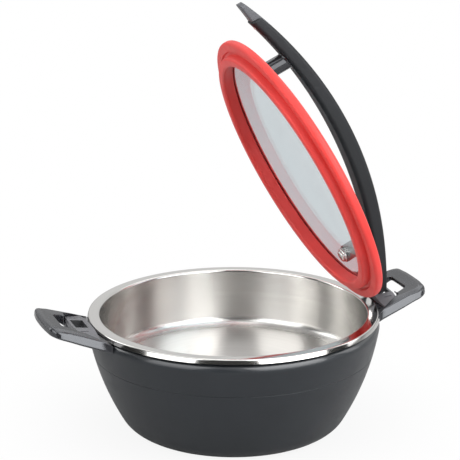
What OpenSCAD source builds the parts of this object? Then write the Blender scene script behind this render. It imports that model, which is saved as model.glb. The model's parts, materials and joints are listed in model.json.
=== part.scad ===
// Insulated serving dish: a steel pot in a black bowl, two loop handles and a domed glass lid
// that swings up on a pin at the rear handle. The lid is drawn open, as the dish stands in use.
// Millimetres. +Z is up, +X points from the bowl's axis to the hinge, and the origin is the
// middle of the foot, on the table.

/* [Bowl] */
// Height of the steel rim above the table
rim_h = 107; // [102:1:116]
// Diameter of the pot's opening
pot_open_d = 240; // [224:1:256]
// Width of the flat steel flange round the opening
flange_w = 11.5; // [10:0.5:13]
// Height of the flange's turned-down edge
band_h = 4.2; // [3.6:0.1:5]
// Radius of the turned-down edge's bend
band_bend_r = 1.5; // [1.4:0.1:2]
// Radius of the bend from the pot's wall to the flange
mouth_bend_r = 2; // [1.8:0.1:2.5]
// Thickness of the pot's steel
steel_t = 1.2; // [0.8:0.1:1.4]
// Depth of the pot below the rim
pot_depth = 54; // [46:1:56]
// Gap between the pot's cove and the bowl's wall
pot_clear = 1.5; // [1.2:0.1:3]
// Radius of the cove between the pot's wall and floor
cove_r = 9; // [7:0.5:12]
// Wall of the outer bowl
shell_t = 2.6; // [2:0.1:3]
// How far the edge of the bowl's flat base lies inside the pot's opening
base_in = 37.5; // [36:0.5:41]
// Radius of the heel between the base and the wall
heel_r = 23; // [20:1:26]
// Radius of the bowl's swelling wall, seen from the side
wall_r = 239; // [220:1:280]
// Radius of the bowl's shoulder under the rim
shoulder_r = 7; // [6:0.5:8]
// Dark gap between the steel edge and the bowl's shoulder
band_gap = 0.6; // [0.4:0.1:1]
// How far below the rim the parting groove runs
groove_drop = 35; // [30:1:40]
// Depth of the parting groove
groove_deep = 0.6; // [0.4:0.1:1]
// Height of the parting groove
groove_h = 1.2; // [0.8:0.1:2]
// How far the rim gasket's outside lies inside the flange's
gasket_inset = 4; // [3:0.5:6]
// How far below the rim the foam round the pot ends
foam_down = 23; // [19:1:31]
// Diameter of the filling hole in the base
plug_d = 24; // [16:1:34]
// How far the base plug's snap lip reaches past its hole
plug_lip_w = 1; // [0.6:0.1:2]
// Height of the base plug's snap lip
plug_lip_h = 1.2; // [0.8:0.1:2]
// How far the middle of the foot ring lies inside the edge of the base
foot_inset = 10; // [8:0.5:16]
// Width of the foot ring
foot_w = 8; // [5:0.5:10]
// How far the foot ring stands out of the base
foot_h = 1; // [0.8:0.1:2]
// Depth of the foot ring's groove in the base
foot_groove = 1.2; // [0.8:0.1:1.6]

/* [Handles] */
// How far each grip reaches past the flange
handle_reach = 48; // [46:0.5:51]
// Half width of a handle where it meets the bowl's axis side
root_hw = 44; // [42:1:48]
// Half width of the grip
grip_hw = 35.5; // [33:0.5:38]
// Radius of the grip's outer corners, seen from above
grip_corner_r = 13; // [10:1:16]
// Width of the grip's bar
grip_bar_w = 18.5; // [17:0.5:20]
// Height of the grip's top above the rim
grip_up = 15; // [14:0.5:16.5]
// Thickness of the grip
grip_t = 8.6; // [8.4:0.2:10]
// How far the handle's top lies below the rim at its inner end
root_down = 5.9; // [5:0.1:6.5]
// Thickness of the handle at its inner end
root_t = 12; // [11.6:0.2:14]
// Radius along the grip's outer edge, seen from the side
grip_edge_r = 4; // [2:0.5:4.2]
// Thickness of the handle's top round the finger gap, over its hollow underside
handle_plate = 4.4; // [3.6:0.2:5]
// Width of the skirt round the handle's hollow underside
skirt_w = 5; // [4:0.5:6]
// Half width of the finger gap next to the keeper
finger_in_hw = 20; // [18:0.5:22]
// Half width of the finger gap next to the grip
finger_out_hw = 16; // [13:0.5:18]
// How far outside the keeper's inner edge the well under it starts
well_in = 4; // [3:0.2:5]
// Half width of the well under the keeper's window
well_hw = 15; // [13:0.5:16]
// Radius of the finger gap's outer corners
finger_corner_r = 3; // [2:0.5:4]
// Half width of the handle's level top: outside it, the top falls away to the sides
arm_flat_hw = 29; // [27:0.5:31]
// Angle at which the handle's top falls away
arm_fall_a = 17; // [12:1:22]
// Sideways distance of the handle screws from the middle
handle_screw_y = 30; // [27:0.5:33]
// Height of the handle screws below the rim
handle_screw_down = 9; // [8.8:0.1:9.4]
// Diameter of the handle screws
handle_screw_d = 3.2; // [2.5:0.1:3.6]
// Length of a handle screw under its head
handle_screw_l = 12; // [10:0.5:12.5]
// Diameter of the bosses at the handle screws
boss_d = 9; // [8:0.5:11]
// How far inside the flange the boss faces lie
boss_in = 8.7; // [8:0.1:9.5]

/* [Keepers] */
// How far outside the flange the keeper starts
keeper_out = 1.5; // [1:0.1:2.5]
// Length of the keeper, up its slope
keeper_l = 19; // [18:0.2:21]
// Half width of the keeper at its inner edge
keeper_in_hw = 35; // [32:0.5:36]
// Half width of the keeper at its outer edge
keeper_out_hw = 25; // [23:0.5:27]
// Height of the keeper's middle above the rim, at its inner edge
keeper_up = 1.9; // [1.2:0.1:2.4]
// Slope of the keeper
keeper_slope = 8; // [6:0.5:12]
// Thickness of the keeper's middle
keeper_t = 4.4; // [4:0.1:5]
// Half width of the keeper's flat middle
keeper_flat_hw = 14; // [12:0.5:16]
// Radius of the bend between the keeper's middle and its ends
keeper_bend_r = 6; // [2:1:10]
// Drop of the keeper's sloped ends
keeper_fall = 3; // [2:0.1:3.4]
// Width of the bar between the window and the keeper's outer edge
keeper_bar = 2.6; // [2.2:0.1:3]
// Half width of the window
window_hw = 10.5; // [9:0.5:12]
// Length of the window, up the keeper's slope
window_l = 11.4; // [11:0.1:11.8]
// Sideways place of the two slits in the keeper
slit_y = 19; // [17:0.5:21]
// Width of a slit
slit_w = 1.6; // [1:0.1:2]
// Length of a slit
slit_l = 7; // [4:0.5:9]
// Depth of a slit
slit_deep = 0.7; // [0.4:0.1:0.8]
// Diameter of the keeper screws
keeper_screw_d = 3; // [2.4:0.1:3.2]
// Sideways place of the keeper screws
keeper_screw_y = 19.5; // [18.5:0.5:20.5]
// How far a keeper screw reaches into the keeper
keeper_screw_in = 2.1; // [1.6:0.1:2.3]
// Thickness of the handle under the keeper that a screw clamps
keeper_clamp = 3.2; // [2.8:0.1:3.6]

/* [Hinge] */
// How far inside the flange's edge the hinge pin lies
hinge_in = 5; // [4:0.5:6.5]
// Height of the hinge pin above the rim
hinge_up = 15.5; // [15:0.5:18]
// Angle of the open lid
lid_open = 64; // [60:1:66]
// Diameter of the hinge pin
pin_d = 5; // [4:0.1:5.4]
// Radius of the hinge's eyes
eye_r = 5.2; // [4.8:0.1:5.6]
// Thickness of each hinge ear
ear_t = 4; // [3:0.2:5]
// Length of an ear's foot along the keeper
ear_foot_l = 5; // [4.4:0.2:5.2]
// How far below the hinge pin an ear's inner edge bends over the rim
ear_bend_down = 9.1; // [8.5:0.1:10]
// Wall of the bush in the arm's lug
bush_t = 1.1; // [0.8:0.1:1.3]
// Thickness of a hinge washer
hinge_washer_t = 0.9; // [0.6:0.1:1.2]
// Thickness of the pin's head
pin_head_t = 1.5; // [1:0.1:2]
// How far the pin's head and clip reach past the pin
pin_head_w = 1.6; // [1.2:0.1:2]
// Thickness of the pin's clip
clip_t = 0.8; // [0.6:0.1:1.2]
// How far the pin runs out past its clip
pin_tail = 0.8; // [0.5:0.1:1.5]

/* [Lid] */
// How far the edge of the glass lies inside the pot's opening
glass_in = 0.5; // [0.2:0.1:1]
// Thickness of the glass
glass_t = 4; // [3.5:0.1:4.5]
// Radius of the glass dome's inside
dome_r = 600; // [520:10:800]
// Height of the inside of the glass above the rim, where the seal's inner edge meets it
glass_up = 6.5; // [6:0.1:7.5]
// How far the seal's lip reaches over the glass
lip_w = 7.5; // [6.5:0.5:9]
// How far the seal's bead stays inside the flange's edge
bead_in = 0.5; // [0.3:0.1:1.5]
// Height of the bead's outer edge
bead_h = 7; // [6:0.1:7.2]
// Radius under the bead's outer edge
bead_edge_r = 3; // [2.8:0.1:3.4]
// Radius on top of the bead's outer edge
bead_top_r = 2.5; // [2.2:0.1:3]
// Width of the bead's sloped top
bead_top_w = 7; // [6:0.5:8]
// Rise of the bead's sloped top
bead_top_rise = 2; // [1.6:0.1:2.4]
// Gap between the closed bead and the flange
bead_gap = 0.4; // [0.4:0.1:0.6]
// How far the seal's plug reaches below the rim
plug_deep = 5.5; // [4.5:0.1:6]
// Gap between the plug and the pot's mouth
plug_gap = 1.5; // [1.2:0.1:2.5]
// Width of the plug's foot
plug_foot_w = 9; // [7:0.5:10]
// Radius on the plug's edges
plug_edge_r = 2.4; // [1.5:0.1:3]
// Height of the valley between the plug and the bead
valley_h = 1.6; // [1:0.1:2]
// Width of the valley between the plug and the bead
valley_w = 3; // [2.4:0.1:3.5]
// How far the seal wraps round the edge of the glass
seal_wrap_w = 1.6; // [1.2:0.1:2]
// Thickness of the seal's lip over the glass
seal_lip_t = 1.6; // [1.4:0.1:2.2]
// Distance of each post from the edge of the glass
post_in = 24; // [21:0.5:28]
// Diameter of the posts
post_d = 15.5; // [13:0.5:17]
// Thickness of the soft washers under the posts
post_gasket_t = 1; // [0.8:0.1:1.5]
// Diameter of the post screws
post_screw_d = 5; // [4:0.1:5.5]
// How far a post screw reaches into the arm
post_screw_in = 6; // [4:0.5:7]
// Diameter of a post screw's head
post_head_d = 11; // [9:0.5:12]
// Height of a post screw's head
post_head_h = 2.6; // [2:0.1:3.5]
// Diameter of the washers under the screw heads
cup_d = 14; // [13:0.5:16]
// Thickness of the washers under the screw heads, at their middle
cup_t = 1.6; // [1.4:0.1:2.5]
// Diameter of the holes in the glass
glass_hole_d = 7; // [6:0.5:9]

/* [Arm] */
// Height of the arm's top above the hinge pin, over the pin
arm_end_up = 23.9; // [22.9:0.1:24.9]
// Radius of the arm's arched top
arm_top_r = 345; // [335:5:360]
// Thickness of the arm at its middle
arm_mid_t = 14.6; // [13:0.2:16]
// Upright thickness of the arm at its front nose
arm_end_t = 11.4; // [10.4:0.2:11.6]
// Half width of the arm at its middle
arm_mid_hw = 11; // [9:0.5:13]
// Half width of the arm at its ends
arm_end_hw = 7; // [6.5:0.1:7.5]
// How far the arm's front nose reaches past the flange
nose_out = 11.5; // [9:0.5:13]
// Radius under the front nose
nose_r = 2; // [1:0.5:3]
// How far the arm's tail reaches past the flange
tail_out = 15.5; // [14:0.5:16]
// Play between the arm's tail and the keeper's bar
tail_play = 0.8; // [0.5:0.1:1.2]
// How far the thumb tab reaches past the flange
tab_out = 31.5; // [27:0.5:34]
// Length of the thumb tab's seat in the arm
tab_seat_l = 12; // [10:0.5:15]
// Thickness of the thumb tab's tongue, inside the arm
tab_t = 3; // [2.4:0.1:3.4]
// Thickness of the thumb tab where it leaves the arm
tab_root_t = 9.8; // [8.6:0.2:10.4]
// Thickness of the thumb tab at its tip
tab_tip_t = 5; // [4:0.2:6]
// Half width of the thumb tab at its seat
tab_in_hw = 6; // [5:0.1:6.4]
// Half width of the thumb tab at its tip
tab_out_hw = 4.6; // [4:0.1:5.5]
// Radius of the thumb tab's tip corners
tab_tip_r = 3.4; // [2:0.1:3.8]
// Diameter of the thumb tab's screw
tab_screw_d = 3; // [2.4:0.1:3.4]
// How far the thumb tab's screw reaches into the tab
tab_screw_in = 2; // [1.5:0.1:2.3]
// Depth of the screw head's recess under the arm
tab_head_deep = 2.4; // [2:0.1:2.8]

/* [Fits] */
// Gap round seated pieces
fit = 0.1; // [0.05:0.01:0.15]
// Gap between a screw and its hole
screw_fit = 0.05; // [0.02:0.01:0.1]
// Running gap between the hinge pin and its bush
pin_play = 0.05; // [0.02:0.01:0.08]
// Gap between the pin and the ears that hold it
pin_hold = 0.02; // [0.01:0.01:0.05]
// Gap between the pot and the lip of the bowl
lip_gap = 1; // [0.8:0.1:1.5]
// Gap between the foam and the walls
foam_gap = 0.3; // [0.2:0.1:0.5]
// Gap between the flange's edge and the handles
band_clear = 0.5; // [0.4:0.1:0.8]

/* [Hidden] */

$fn = 96;
// Segments of a small rounded corner, of a long swept arc and of the arm's arch
corner_n = 6;
sweep_n = 16;
arch_n = 48;
// Length that passes right through any piece
through = 400;
// Share of a screw's diameter that its head adds on each side, and the head's height
head_ratio = 0.5;
head_h_ratio = 0.7;
// Where an ear's edges leave its eye, as angles about the pin
ear_top_a = 40;
ear_low_a = 260;
// Small edge radius on the moulded seal
seal_edge_r = 1;
// Thickness of the handle past the end of a handle screw
screw_end = 1.5;

function unit(v) = v / norm(v);
// Points of an arc about c
function arc(c, r, a0, a1, n) =
    [for (i = [0:n]) let (a = a0 + (a1 - a0) * i / n) c + r * [cos(a), sin(a)]];
// One corner p between a and b, rounded with radius r
function corner(a, p, b, r) =
    r <= 0 ? [[p.x, p.y]] :
    let (u = unit([a.x - p.x, a.y - p.y]), v = unit([b.x - p.x, b.y - p.y]),
         half = acos(u * v) / 2, c = [p.x, p.y] + unit(u + v) * r / sin(half),
         s = [p.x, p.y] + u * r / tan(half) - c, e = [p.x, p.y] + v * r / tan(half) - c,
         a0 = atan2(s.y, s.x), turn = atan2(s.x * e.y - s.y * e.x, s * e))
    arc(c, r, a0, a0 + turn, corner_n);
// Outline through points [x, y, r], each corner rounded with its own r
function rounded(p) =
    [for (i = [0:len(p) - 1])
        each corner(p[(i + len(p) - 1) % len(p)], p[i], p[(i + 1) % len(p)], p[i][2])];
function backwards(p) = [for (i = [len(p) - 1:-1:0]) p[i]];
// The outline of one half, given for y > 0, and its mirror image
function both_sides(p) = concat(p, [for (q = backwards(p)) [q.x, -q.y, q[2]]]);
// Points [x, z] of an arch of radius r whose top is at z = apex
function arch_z(apex, r, x) = apex - r + sqrt(r * r - x * x);
function arch(apex, r, x0, x1) =
    [for (i = [0:arch_n]) let (x = x0 + (x1 - x0) * i / arch_n) [x, arch_z(apex, r, x)]];

pot_r = pot_open_d / 2;
flange_r = pot_r + flange_w;
pot_floor_z = rim_h - pot_depth;
lip_r = pot_r + steel_t + lip_gap;
bowl_top_z = rim_h - band_h - band_gap;
plug_r = plug_d / 2;
base_r = pot_r - base_in;
foot_in_r = base_r - foot_inset - foot_w / 2;
foot_out_r = foot_in_r + foot_w;
glass_r = pot_r - glass_in;
seal_in_r = glass_r - lip_w;
post_x = glass_r - post_in;

// Centres of the bowl's heel, wall and shoulder arcs: the wall's arc touches the other two
heel_c = [base_r, foot_h + heel_r];
shoulder_c = [flange_r - shoulder_r, bowl_top_z - shoulder_r];
span = shoulder_c - heel_c;
span_a = acos(((wall_r - heel_r) ^ 2 + span * span - (wall_r - shoulder_r) ^ 2)
    / (2 * (wall_r - heel_r) * norm(span)));
wall_dir = atan2(span.y, span.x) + span_a;
wall_c = heel_c + (wall_r - heel_r) * [cos(wall_dir), sin(wall_dir)];
wall_a0 = atan2(heel_c.y - wall_c.y, heel_c.x - wall_c.x);
wall_a1 = atan2(shoulder_c.y - wall_c.y, shoulder_c.x - wall_c.x);
groove_z = rim_h - groove_drop;
groove_r = wall_c.x + sqrt(wall_r ^ 2 - (groove_z - wall_c.y) ^ 2);

// The bowl's side from its base to its shoulder's top, moved in by t
function bowl_side(t) = concat(
    arc(heel_c, heel_r - t, -90, wall_a0, corner_n),
    arc(wall_c, wall_r - t, wall_a0, wall_a1, sweep_n),
    arc(shoulder_c, shoulder_r - t, wall_a1, 90, corner_n));

// Inside of the pot from its floor to its mouth, moved out by t. Its cove follows the bowl's wall,
// and its straight side touches the cove and the bend at the mouth.
cove_reach = wall_r - shell_t - pot_clear - steel_t - cove_r;
cove_z = pot_floor_z + cove_r;
cove_c = [wall_c.x + sqrt(cove_reach ^ 2 - (cove_z - wall_c.y) ^ 2), cove_z];
mouth_c = [pot_r + mouth_bend_r, rim_h - mouth_bend_r];
pot_span = mouth_c - cove_c;
taper_a = acos((cove_r + mouth_bend_r) / norm(pot_span)) - atan2(pot_span.y, pot_span.x);
function pot_side(t) = concat(
    [[0, pot_floor_z - t]],
    arc(cove_c, cove_r + t, -90, -taper_a, corner_n),
    arc(mouth_c, mouth_bend_r - t, 180 - taper_a, 90, corner_n));
band_c = [flange_r - band_bend_r, rim_h - band_bend_r];
function pot_band(t) = concat(
    arc(band_c, band_bend_r - t, 90, 0, corner_n),
    [[flange_r - t, rim_h - band_h]]);

// The handle's slope: its top and bottom lines run from inside the bowl to the grip
root_in = 20;
root_x = flange_r - root_in;
grip_x = flange_r + handle_reach;
root_top = rim_h - root_down;
grip_top = rim_h + grip_up;
slope = atan((grip_top - root_top) / (grip_x - root_x));
keeper_x = flange_r + keeper_out;
keeper_z = rim_h + keeper_up;
keeper_end_x = keeper_x + keeper_l * cos(keeper_slope);
well_x = keeper_x + well_in;
finger_x = keeper_end_x + fit;
finger_end_x = grip_x - grip_bar_w;
hollow_hw = root_hw - (root_hw - grip_hw) * (finger_x - root_x) / (grip_x - root_x) - skirt_w;
handle_screw_z = rim_h - handle_screw_down;
boss_x = flange_r - boss_in;

hinge = [flange_r - hinge_in, rim_h + hinge_up];
pin_r = pin_d / 2;
bush_in_r = pin_r + pin_play;
bush_out_r = bush_in_r + bush_t;
lug_hw = arm_end_hw;
washer_y = lug_hw + fit;
ear_y = washer_y + hinge_washer_t + fit / 2;
ear_end_y = ear_y + ear_t;

// A point on the keeper: u runs up its slope, w is square to it and 0 at its middle's top
function on_keeper(u, w) = [keeper_x + u * cos(keeper_slope) - w * sin(keeper_slope),
    keeper_z + u * sin(keeper_slope) + w * cos(keeper_slope)];
// How far the keeper's top lies below its middle's, at a distance y from the middle
function keeper_drop(y) = keeper_fall * (y - keeper_flat_hw) / (keeper_in_hw - keeper_flat_hw);
// Outline of the keeper's plan, grown by g and lengthened inwards by l
function keeper_plan(g, l) = both_sides([[-l, keeper_in_hw + g, 0], [0, keeper_in_hw + g, 0],
    [keeper_l + g, keeper_out_hw + g, 0]]);

// The arm: its nose, its arches, and its tail, which turns about the pin inside the window
nose_x = flange_r + nose_out;
tail_x = flange_r + tail_out;
tab_x = flange_r + tab_out;
tab_seat_x = nose_x - tab_seat_l;
arm_top = hinge.y + arm_end_up + arm_top_r - sqrt(arm_top_r ^ 2 - hinge.x ^ 2);
arm_up = arm_top - rim_h;
arm_low = arm_top - arm_mid_t;
low_drop = arm_top - arch_z(arm_top, arm_top_r, nose_x) + arm_end_t - arm_mid_t;
arm_low_r = (nose_x ^ 2 + low_drop ^ 2) / (2 * low_drop);
window_u = keeper_l - keeper_bar - window_l;
tail_r = norm(on_keeper(keeper_l - keeper_bar, 0) - hinge) - tail_play;
tab_screw_x = -(nose_x + tab_seat_x) / 2;

// The glass dome's centre, and its height at a distance r from the lid's axis
dome_z = rim_h + glass_up - sqrt(dome_r ^ 2 - seal_in_r ^ 2);
function glass_z(r, up) = dome_z + sqrt((dome_r + up) ^ 2 - r ^ 2);
cup_z = glass_z(post_x, 0) - cup_t;
post_foot_z = glass_z(post_x + post_d / 2, 0);

// Swings the closed lid up about the hinge pin
module swung() {
    translate([hinge.x, 0, hinge.y])
        rotate([0, lid_open, 0])
            translate([-hinge.x, 0, -hinge.y])
                children();
}
// An [x, z] outline made as wide as w across y
module across(w) {
    rotate([90, 0, 0])
        linear_extrude(w, center = true)
            children();
}
// A rod along +y from y0 to y1
module rod_y(p, r, y0, y1) {
    translate([p.x, y1, p.y])
        rotate([90, 0, 0])
            cylinder(r = r, h = y1 - y0);
}
module ring(r_in, r_out, z0, z1) {
    rotate_extrude()
        translate([r_in, z0])
            square([r_out - r_in, z1 - z0]);
}
// A pan-head screw along +z, its shank starting at z = 0
module screw(d, l) {
    cylinder(d = d, h = l);
    translate([0, 0, -head_h_ratio * d])
        cylinder(r = d * (0.5 + head_ratio), h = head_h_ratio * d);
}
module front_side() {
    mirror([1, 0, 0])
        children();
}
// The dome between two heights over the inside of the glass, out to a distance r from its axis
module dome_shell(low, high, r) {
    a = asin(r / (dome_r + low));
    b = asin(r / (dome_r + high));
    rotate_extrude()
        polygon(concat(arc([0, dome_z], dome_r + low, 90, 90 - a, sweep_n),
            arc([0, dome_z], dome_r + high, 90 - b, 90, sweep_n)));
}
// Everything below the arm's underside
module under_arm() {
    across(through)
        polygon(concat(arch(arm_low, arm_low_r, -nose_x, nose_x), [[nose_x, 0], [-nose_x, 0]]));
}
module at_posts() {
    for (s = [-1, 1])
        translate([s * post_x, 0, 0])
            children();
}
module at_handle_screws() {
    for (s = [-1, 1])
        translate([boss_x, s * handle_screw_y, handle_screw_z])
            rotate([0, 90, 0])
                children();
}
module at_keeper() {
    translate([keeper_x, 0, keeper_z])
        rotate([0, -keeper_slope, 0])
            children();
}
module at_keeper_screws() {
    at_keeper()
        for (s = [-1, 1])
            translate([keeper_l / 2, s * keeper_screw_y, -keeper_t - keeper_clamp])
                children();
}

// Dish

module bowl_solid(grow) {
    rotate_extrude()
        polygon(concat([[0, foot_h - grow]], bowl_side(-grow), [[0, bowl_top_z + grow]]));
}
module outer_bowl() {
    color([0.13, 0.13, 0.14])
    difference() {
        union() {
            rotate_extrude()
                polygon(concat([[plug_r, foot_h]], bowl_side(0), [[lip_r, bowl_top_z],
                    [lip_r, bowl_top_z - shell_t]], backwards(bowl_side(shell_t)),
                    [[plug_r, foot_h + shell_t]]));
            intersection() {
                bowl_solid(0);
                for (turn = [0, 180])
                    rotate([0, 0, turn])
                        at_handle_screws()
                            cylinder(d = boss_d, h = boss_in);
            }
        }
        ring(groove_r - groove_deep, flange_r + groove_deep, groove_z - groove_h / 2,
            groove_z + groove_h / 2);
        ring(foot_in_r, foot_out_r, 0, foot_h + foot_groove);
        for (turn = [0, 180])
            rotate([0, 0, turn])
                at_handle_screws()
                    union() {
                        cylinder(r = handle_screw_d / 2 + screw_fit, h = 2 * boss_in);
                        translate([0, 0, -boss_in])
                            cylinder(r = handle_screw_d * (0.5 + head_ratio) + foam_gap, h = boss_in);
                    }
    }
}
module inner_pot() {
    color([0.72, 0.72, 0.72])
    rotate_extrude()
        polygon(concat(pot_side(0), pot_band(0), backwards(pot_band(steel_t)),
            backwards(pot_side(steel_t))));
}
module rim_gasket() {
    color([0.05, 0.05, 0.05])
    ring(lip_r, flange_r - gasket_inset, bowl_top_z, rim_h - steel_t);
}
module insulation_core() {
    color([0.9, 0.87, 0.75])
    difference() {
        intersection() {
            rotate_extrude()
                polygon(concat([[0, foot_h + shell_t]], bowl_side(shell_t + foam_gap),
                    [[0, bowl_top_z]]));
            translate([0, 0, foot_h + shell_t])
                cylinder(r = flange_r, h = rim_h - foam_down - foot_h - shell_t);
        }
        rotate_extrude()
            polygon(concat(pot_side(steel_t + foam_gap), [[0, rim_h]]));
        cylinder(r = plug_r + plug_lip_w + foam_gap, h = foot_h + shell_t + plug_lip_h + foam_gap);
    }
}
module base_plug() {
    color([0.1, 0.1, 0.1])
    union() {
        translate([0, 0, foot_h])
            cylinder(r = plug_r - screw_fit, h = shell_t + plug_lip_h);
        translate([0, 0, foot_h + shell_t])
            cylinder(r = plug_r + plug_lip_w, h = plug_lip_h);
    }
}
module foot_ring() {
    color([0.06, 0.06, 0.06])
    ring(foot_in_r + screw_fit, foot_out_r - screw_fit, 0, foot_h + foot_groove);
}

// A loop handle on the +X side
module handle() {
    difference() {
        union() {
            intersection() {
                linear_extrude(through)
                    polygon(rounded(both_sides([[root_x, root_hw, 0],
                        [grip_x, grip_hw, grip_corner_r]])));
                across(through)
                    polygon(rounded([[root_x, root_top - root_t, 0],
                        [grip_x, grip_top - grip_t, grip_edge_r], [grip_x, grip_top, grip_edge_r],
                        [root_x, root_top, 0]]));
            }
            at_handle_screws()
                cylinder(d = boss_d, h = handle_screw_l + screw_end);
        }
        intersection() {
            linear_extrude(through)
                polygon(rounded(both_sides([[finger_x, hollow_hw, 0],
                    [grip_x - skirt_w, grip_hw - skirt_w, grip_corner_r - skirt_w]])));
            across(through)
                polygon([[root_x, 0], [grip_x, 0], [grip_x, grip_top - handle_plate],
                    [root_x, root_top - handle_plate]]);
        }
        bowl_solid(fit);
        translate([0, 0, bowl_top_z])
            cylinder(r = flange_r + band_clear, h = through);
        linear_extrude(through)
            polygon(rounded(both_sides([[well_x, well_hw, 0], [finger_x, well_hw, 0],
                [finger_x, finger_in_hw, 0], [finger_end_x, finger_out_hw, finger_corner_r]])));
        at_keeper()
            translate([0, 0, -keeper_t])
                linear_extrude(through)
                    polygon([for (p = keeper_plan(fit, keeper_l)) [p.x, p.y]]);
        translate([root_x, 0, root_top])
            rotate([0, -slope, 0])
                for (s = [0, 1])
                    mirror([0, s, 0])
                        translate([-through / 2, arm_flat_hw, 0])
                            rotate([-arm_fall_a, 0, 0])
                                cube(through);
        at_handle_screws()
            cylinder(r = handle_screw_d / 2 + screw_fit, h = handle_screw_l + fit);
        at_keeper_screws() {
            cylinder(r = keeper_screw_d / 2 + screw_fit, h = through);
            translate([0, 0, -root_t])
                cylinder(r = keeper_screw_d * (0.5 + head_ratio) + fit, h = root_t);
        }
    }
}
module front_handle() {
    color([0.15, 0.15, 0.16])
    front_side()
        handle();
}
module rear_handle() {
    color([0.15, 0.15, 0.16])
    handle();
}
module handle_screws() {
    color([0.7, 0.7, 0.7])
    for (turn = [0, 180])
        rotate([0, 0, turn])
            at_handle_screws()
                screw(handle_screw_d, handle_screw_l);
}
// The plate that bridges a handle's well, with its window and slits
module keeper() {
    difference() {
        at_keeper()
            intersection() {
                translate([keeper_l, 0, 0])
                    rotate([0, -90, 0])
                        linear_extrude(keeper_l)
                            polygon(rounded(both_sides([[-keeper_t, keeper_in_hw, 0],
                                [-keeper_fall, keeper_in_hw, 0],
                                [0, keeper_flat_hw, keeper_bend_r]])));
                translate([0, 0, -through / 2])
                    linear_extrude(through)
                        polygon([for (p = keeper_plan(0, 0)) [p.x, p.y]]);
            }
        at_keeper() {
            translate([window_u, -window_hw, -through / 2])
                cube([window_l, 2 * window_hw, through]);
            for (s = [-1, 1])
                translate([window_u + (window_l - slit_l) / 2, s * slit_y - slit_w / 2,
                    -keeper_drop(slit_y) - slit_deep])
                    cube([slit_l, slit_w, through]);
        }
        at_keeper_screws()
            cylinder(r = keeper_screw_d / 2 + screw_fit, h = keeper_clamp + keeper_screw_in + screw_fit);
    }
}
module front_keeper() {
    color([0.2, 0.2, 0.21])
    front_side()
        keeper();
}
module rear_keeper() {
    foot_out = on_keeper(ear_foot_l, -keeper_t);
    foot_in = on_keeper(0, -keeper_t);
    color([0.2, 0.2, 0.21])
    union() {
        keeper();
        for (s = [-1, 1])
            translate([0, s * (ear_y + ear_end_y) / 2, 0])
                across(ear_t)
                    difference() {
                        union() {
                            translate(hinge)
                                circle(eye_r);
                            polygon([foot_in, foot_out,
                                hinge + eye_r * [cos(ear_top_a), sin(ear_top_a)],
                                hinge + eye_r * [cos(ear_low_a), sin(ear_low_a)],
                                [foot_in.x, hinge.y - ear_bend_down]]);
                        }
                        translate(hinge)
                            circle(pin_r + pin_hold);
                    }
    }
}
module keeper_screws() {
    color([0.6, 0.6, 0.6])
    union() {
        at_keeper_screws()
            screw(keeper_screw_d, keeper_clamp + keeper_screw_in);
        front_side()
            at_keeper_screws()
                screw(keeper_screw_d, keeper_clamp + keeper_screw_in);
    }
}
module hinge_pin() {
    color([0.75, 0.75, 0.75])
    union() {
        rod_y(hinge, pin_r, -ear_end_y - clip_t - pin_tail, ear_end_y + pin_head_t);
        rod_y(hinge, pin_r + pin_head_w, ear_end_y, ear_end_y + pin_head_t);
    }
}
module hinge_clip() {
    color([0.3, 0.3, 0.3])
    difference() {
        rod_y(hinge, pin_r + pin_head_w, -ear_end_y - clip_t, -ear_end_y);
        rod_y(hinge, pin_r + pin_hold, -ear_end_y - 2 * clip_t, -ear_end_y + clip_t);
    }
}
module hinge_washers() {
    color([0.85, 0.83, 0.78])
    for (y = [washer_y, -washer_y - hinge_washer_t])
        difference() {
            rod_y(hinge, eye_r - fit, y, y + hinge_washer_t);
            rod_y(hinge, pin_r + pin_hold, y - hinge_washer_t, y + 2 * hinge_washer_t);
        }
}

// Lid, drawn closed and swung open

module post_holes(d) {
    at_posts()
        cylinder(d = d, h = through);
}
module lid_glass() {
    color([0.8, 0.85, 0.87, 0.4])
    swung()
        difference() {
            dome_shell(0, glass_t, glass_r);
            post_holes(glass_hole_d);
        }
}
module lid_seal() {
    bead_r = flange_r - bead_in;
    plug_r_out = pot_r - plug_gap;
    plug_r_in = plug_r_out - plug_foot_w;
    lip_z = glass_z(seal_in_r, glass_t) + seal_lip_t;
    low = rim_h + bead_gap;
    color([0.85, 0.2, 0.2])
    swung()
        difference() {
            rotate_extrude()
                polygon(rounded([[plug_r_in, rim_h - plug_deep, plug_edge_r],
                    [plug_r_out, rim_h - plug_deep, plug_edge_r],
                    [plug_r_out + seal_edge_r / 2, low + valley_h, seal_edge_r / 2],
                    [plug_r_out + valley_w, low + valley_h, seal_edge_r / 2],
                    [plug_r_out + valley_w + seal_edge_r, low, seal_edge_r],
                    [bead_r, low, bead_edge_r], [bead_r, low + bead_h, bead_top_r],
                    [bead_r - bead_top_w, low + bead_h + bead_top_rise, bead_edge_r],
                    [glass_r + seal_wrap_w, lip_z - seal_lip_t, bead_edge_r],
                    [seal_in_r + seal_edge_r, lip_z, seal_edge_r], [seal_in_r, rim_h + glass_up, 0]]));
            dome_shell(-screw_fit, glass_t + screw_fit, glass_r + screw_fit);
        }
}
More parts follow.
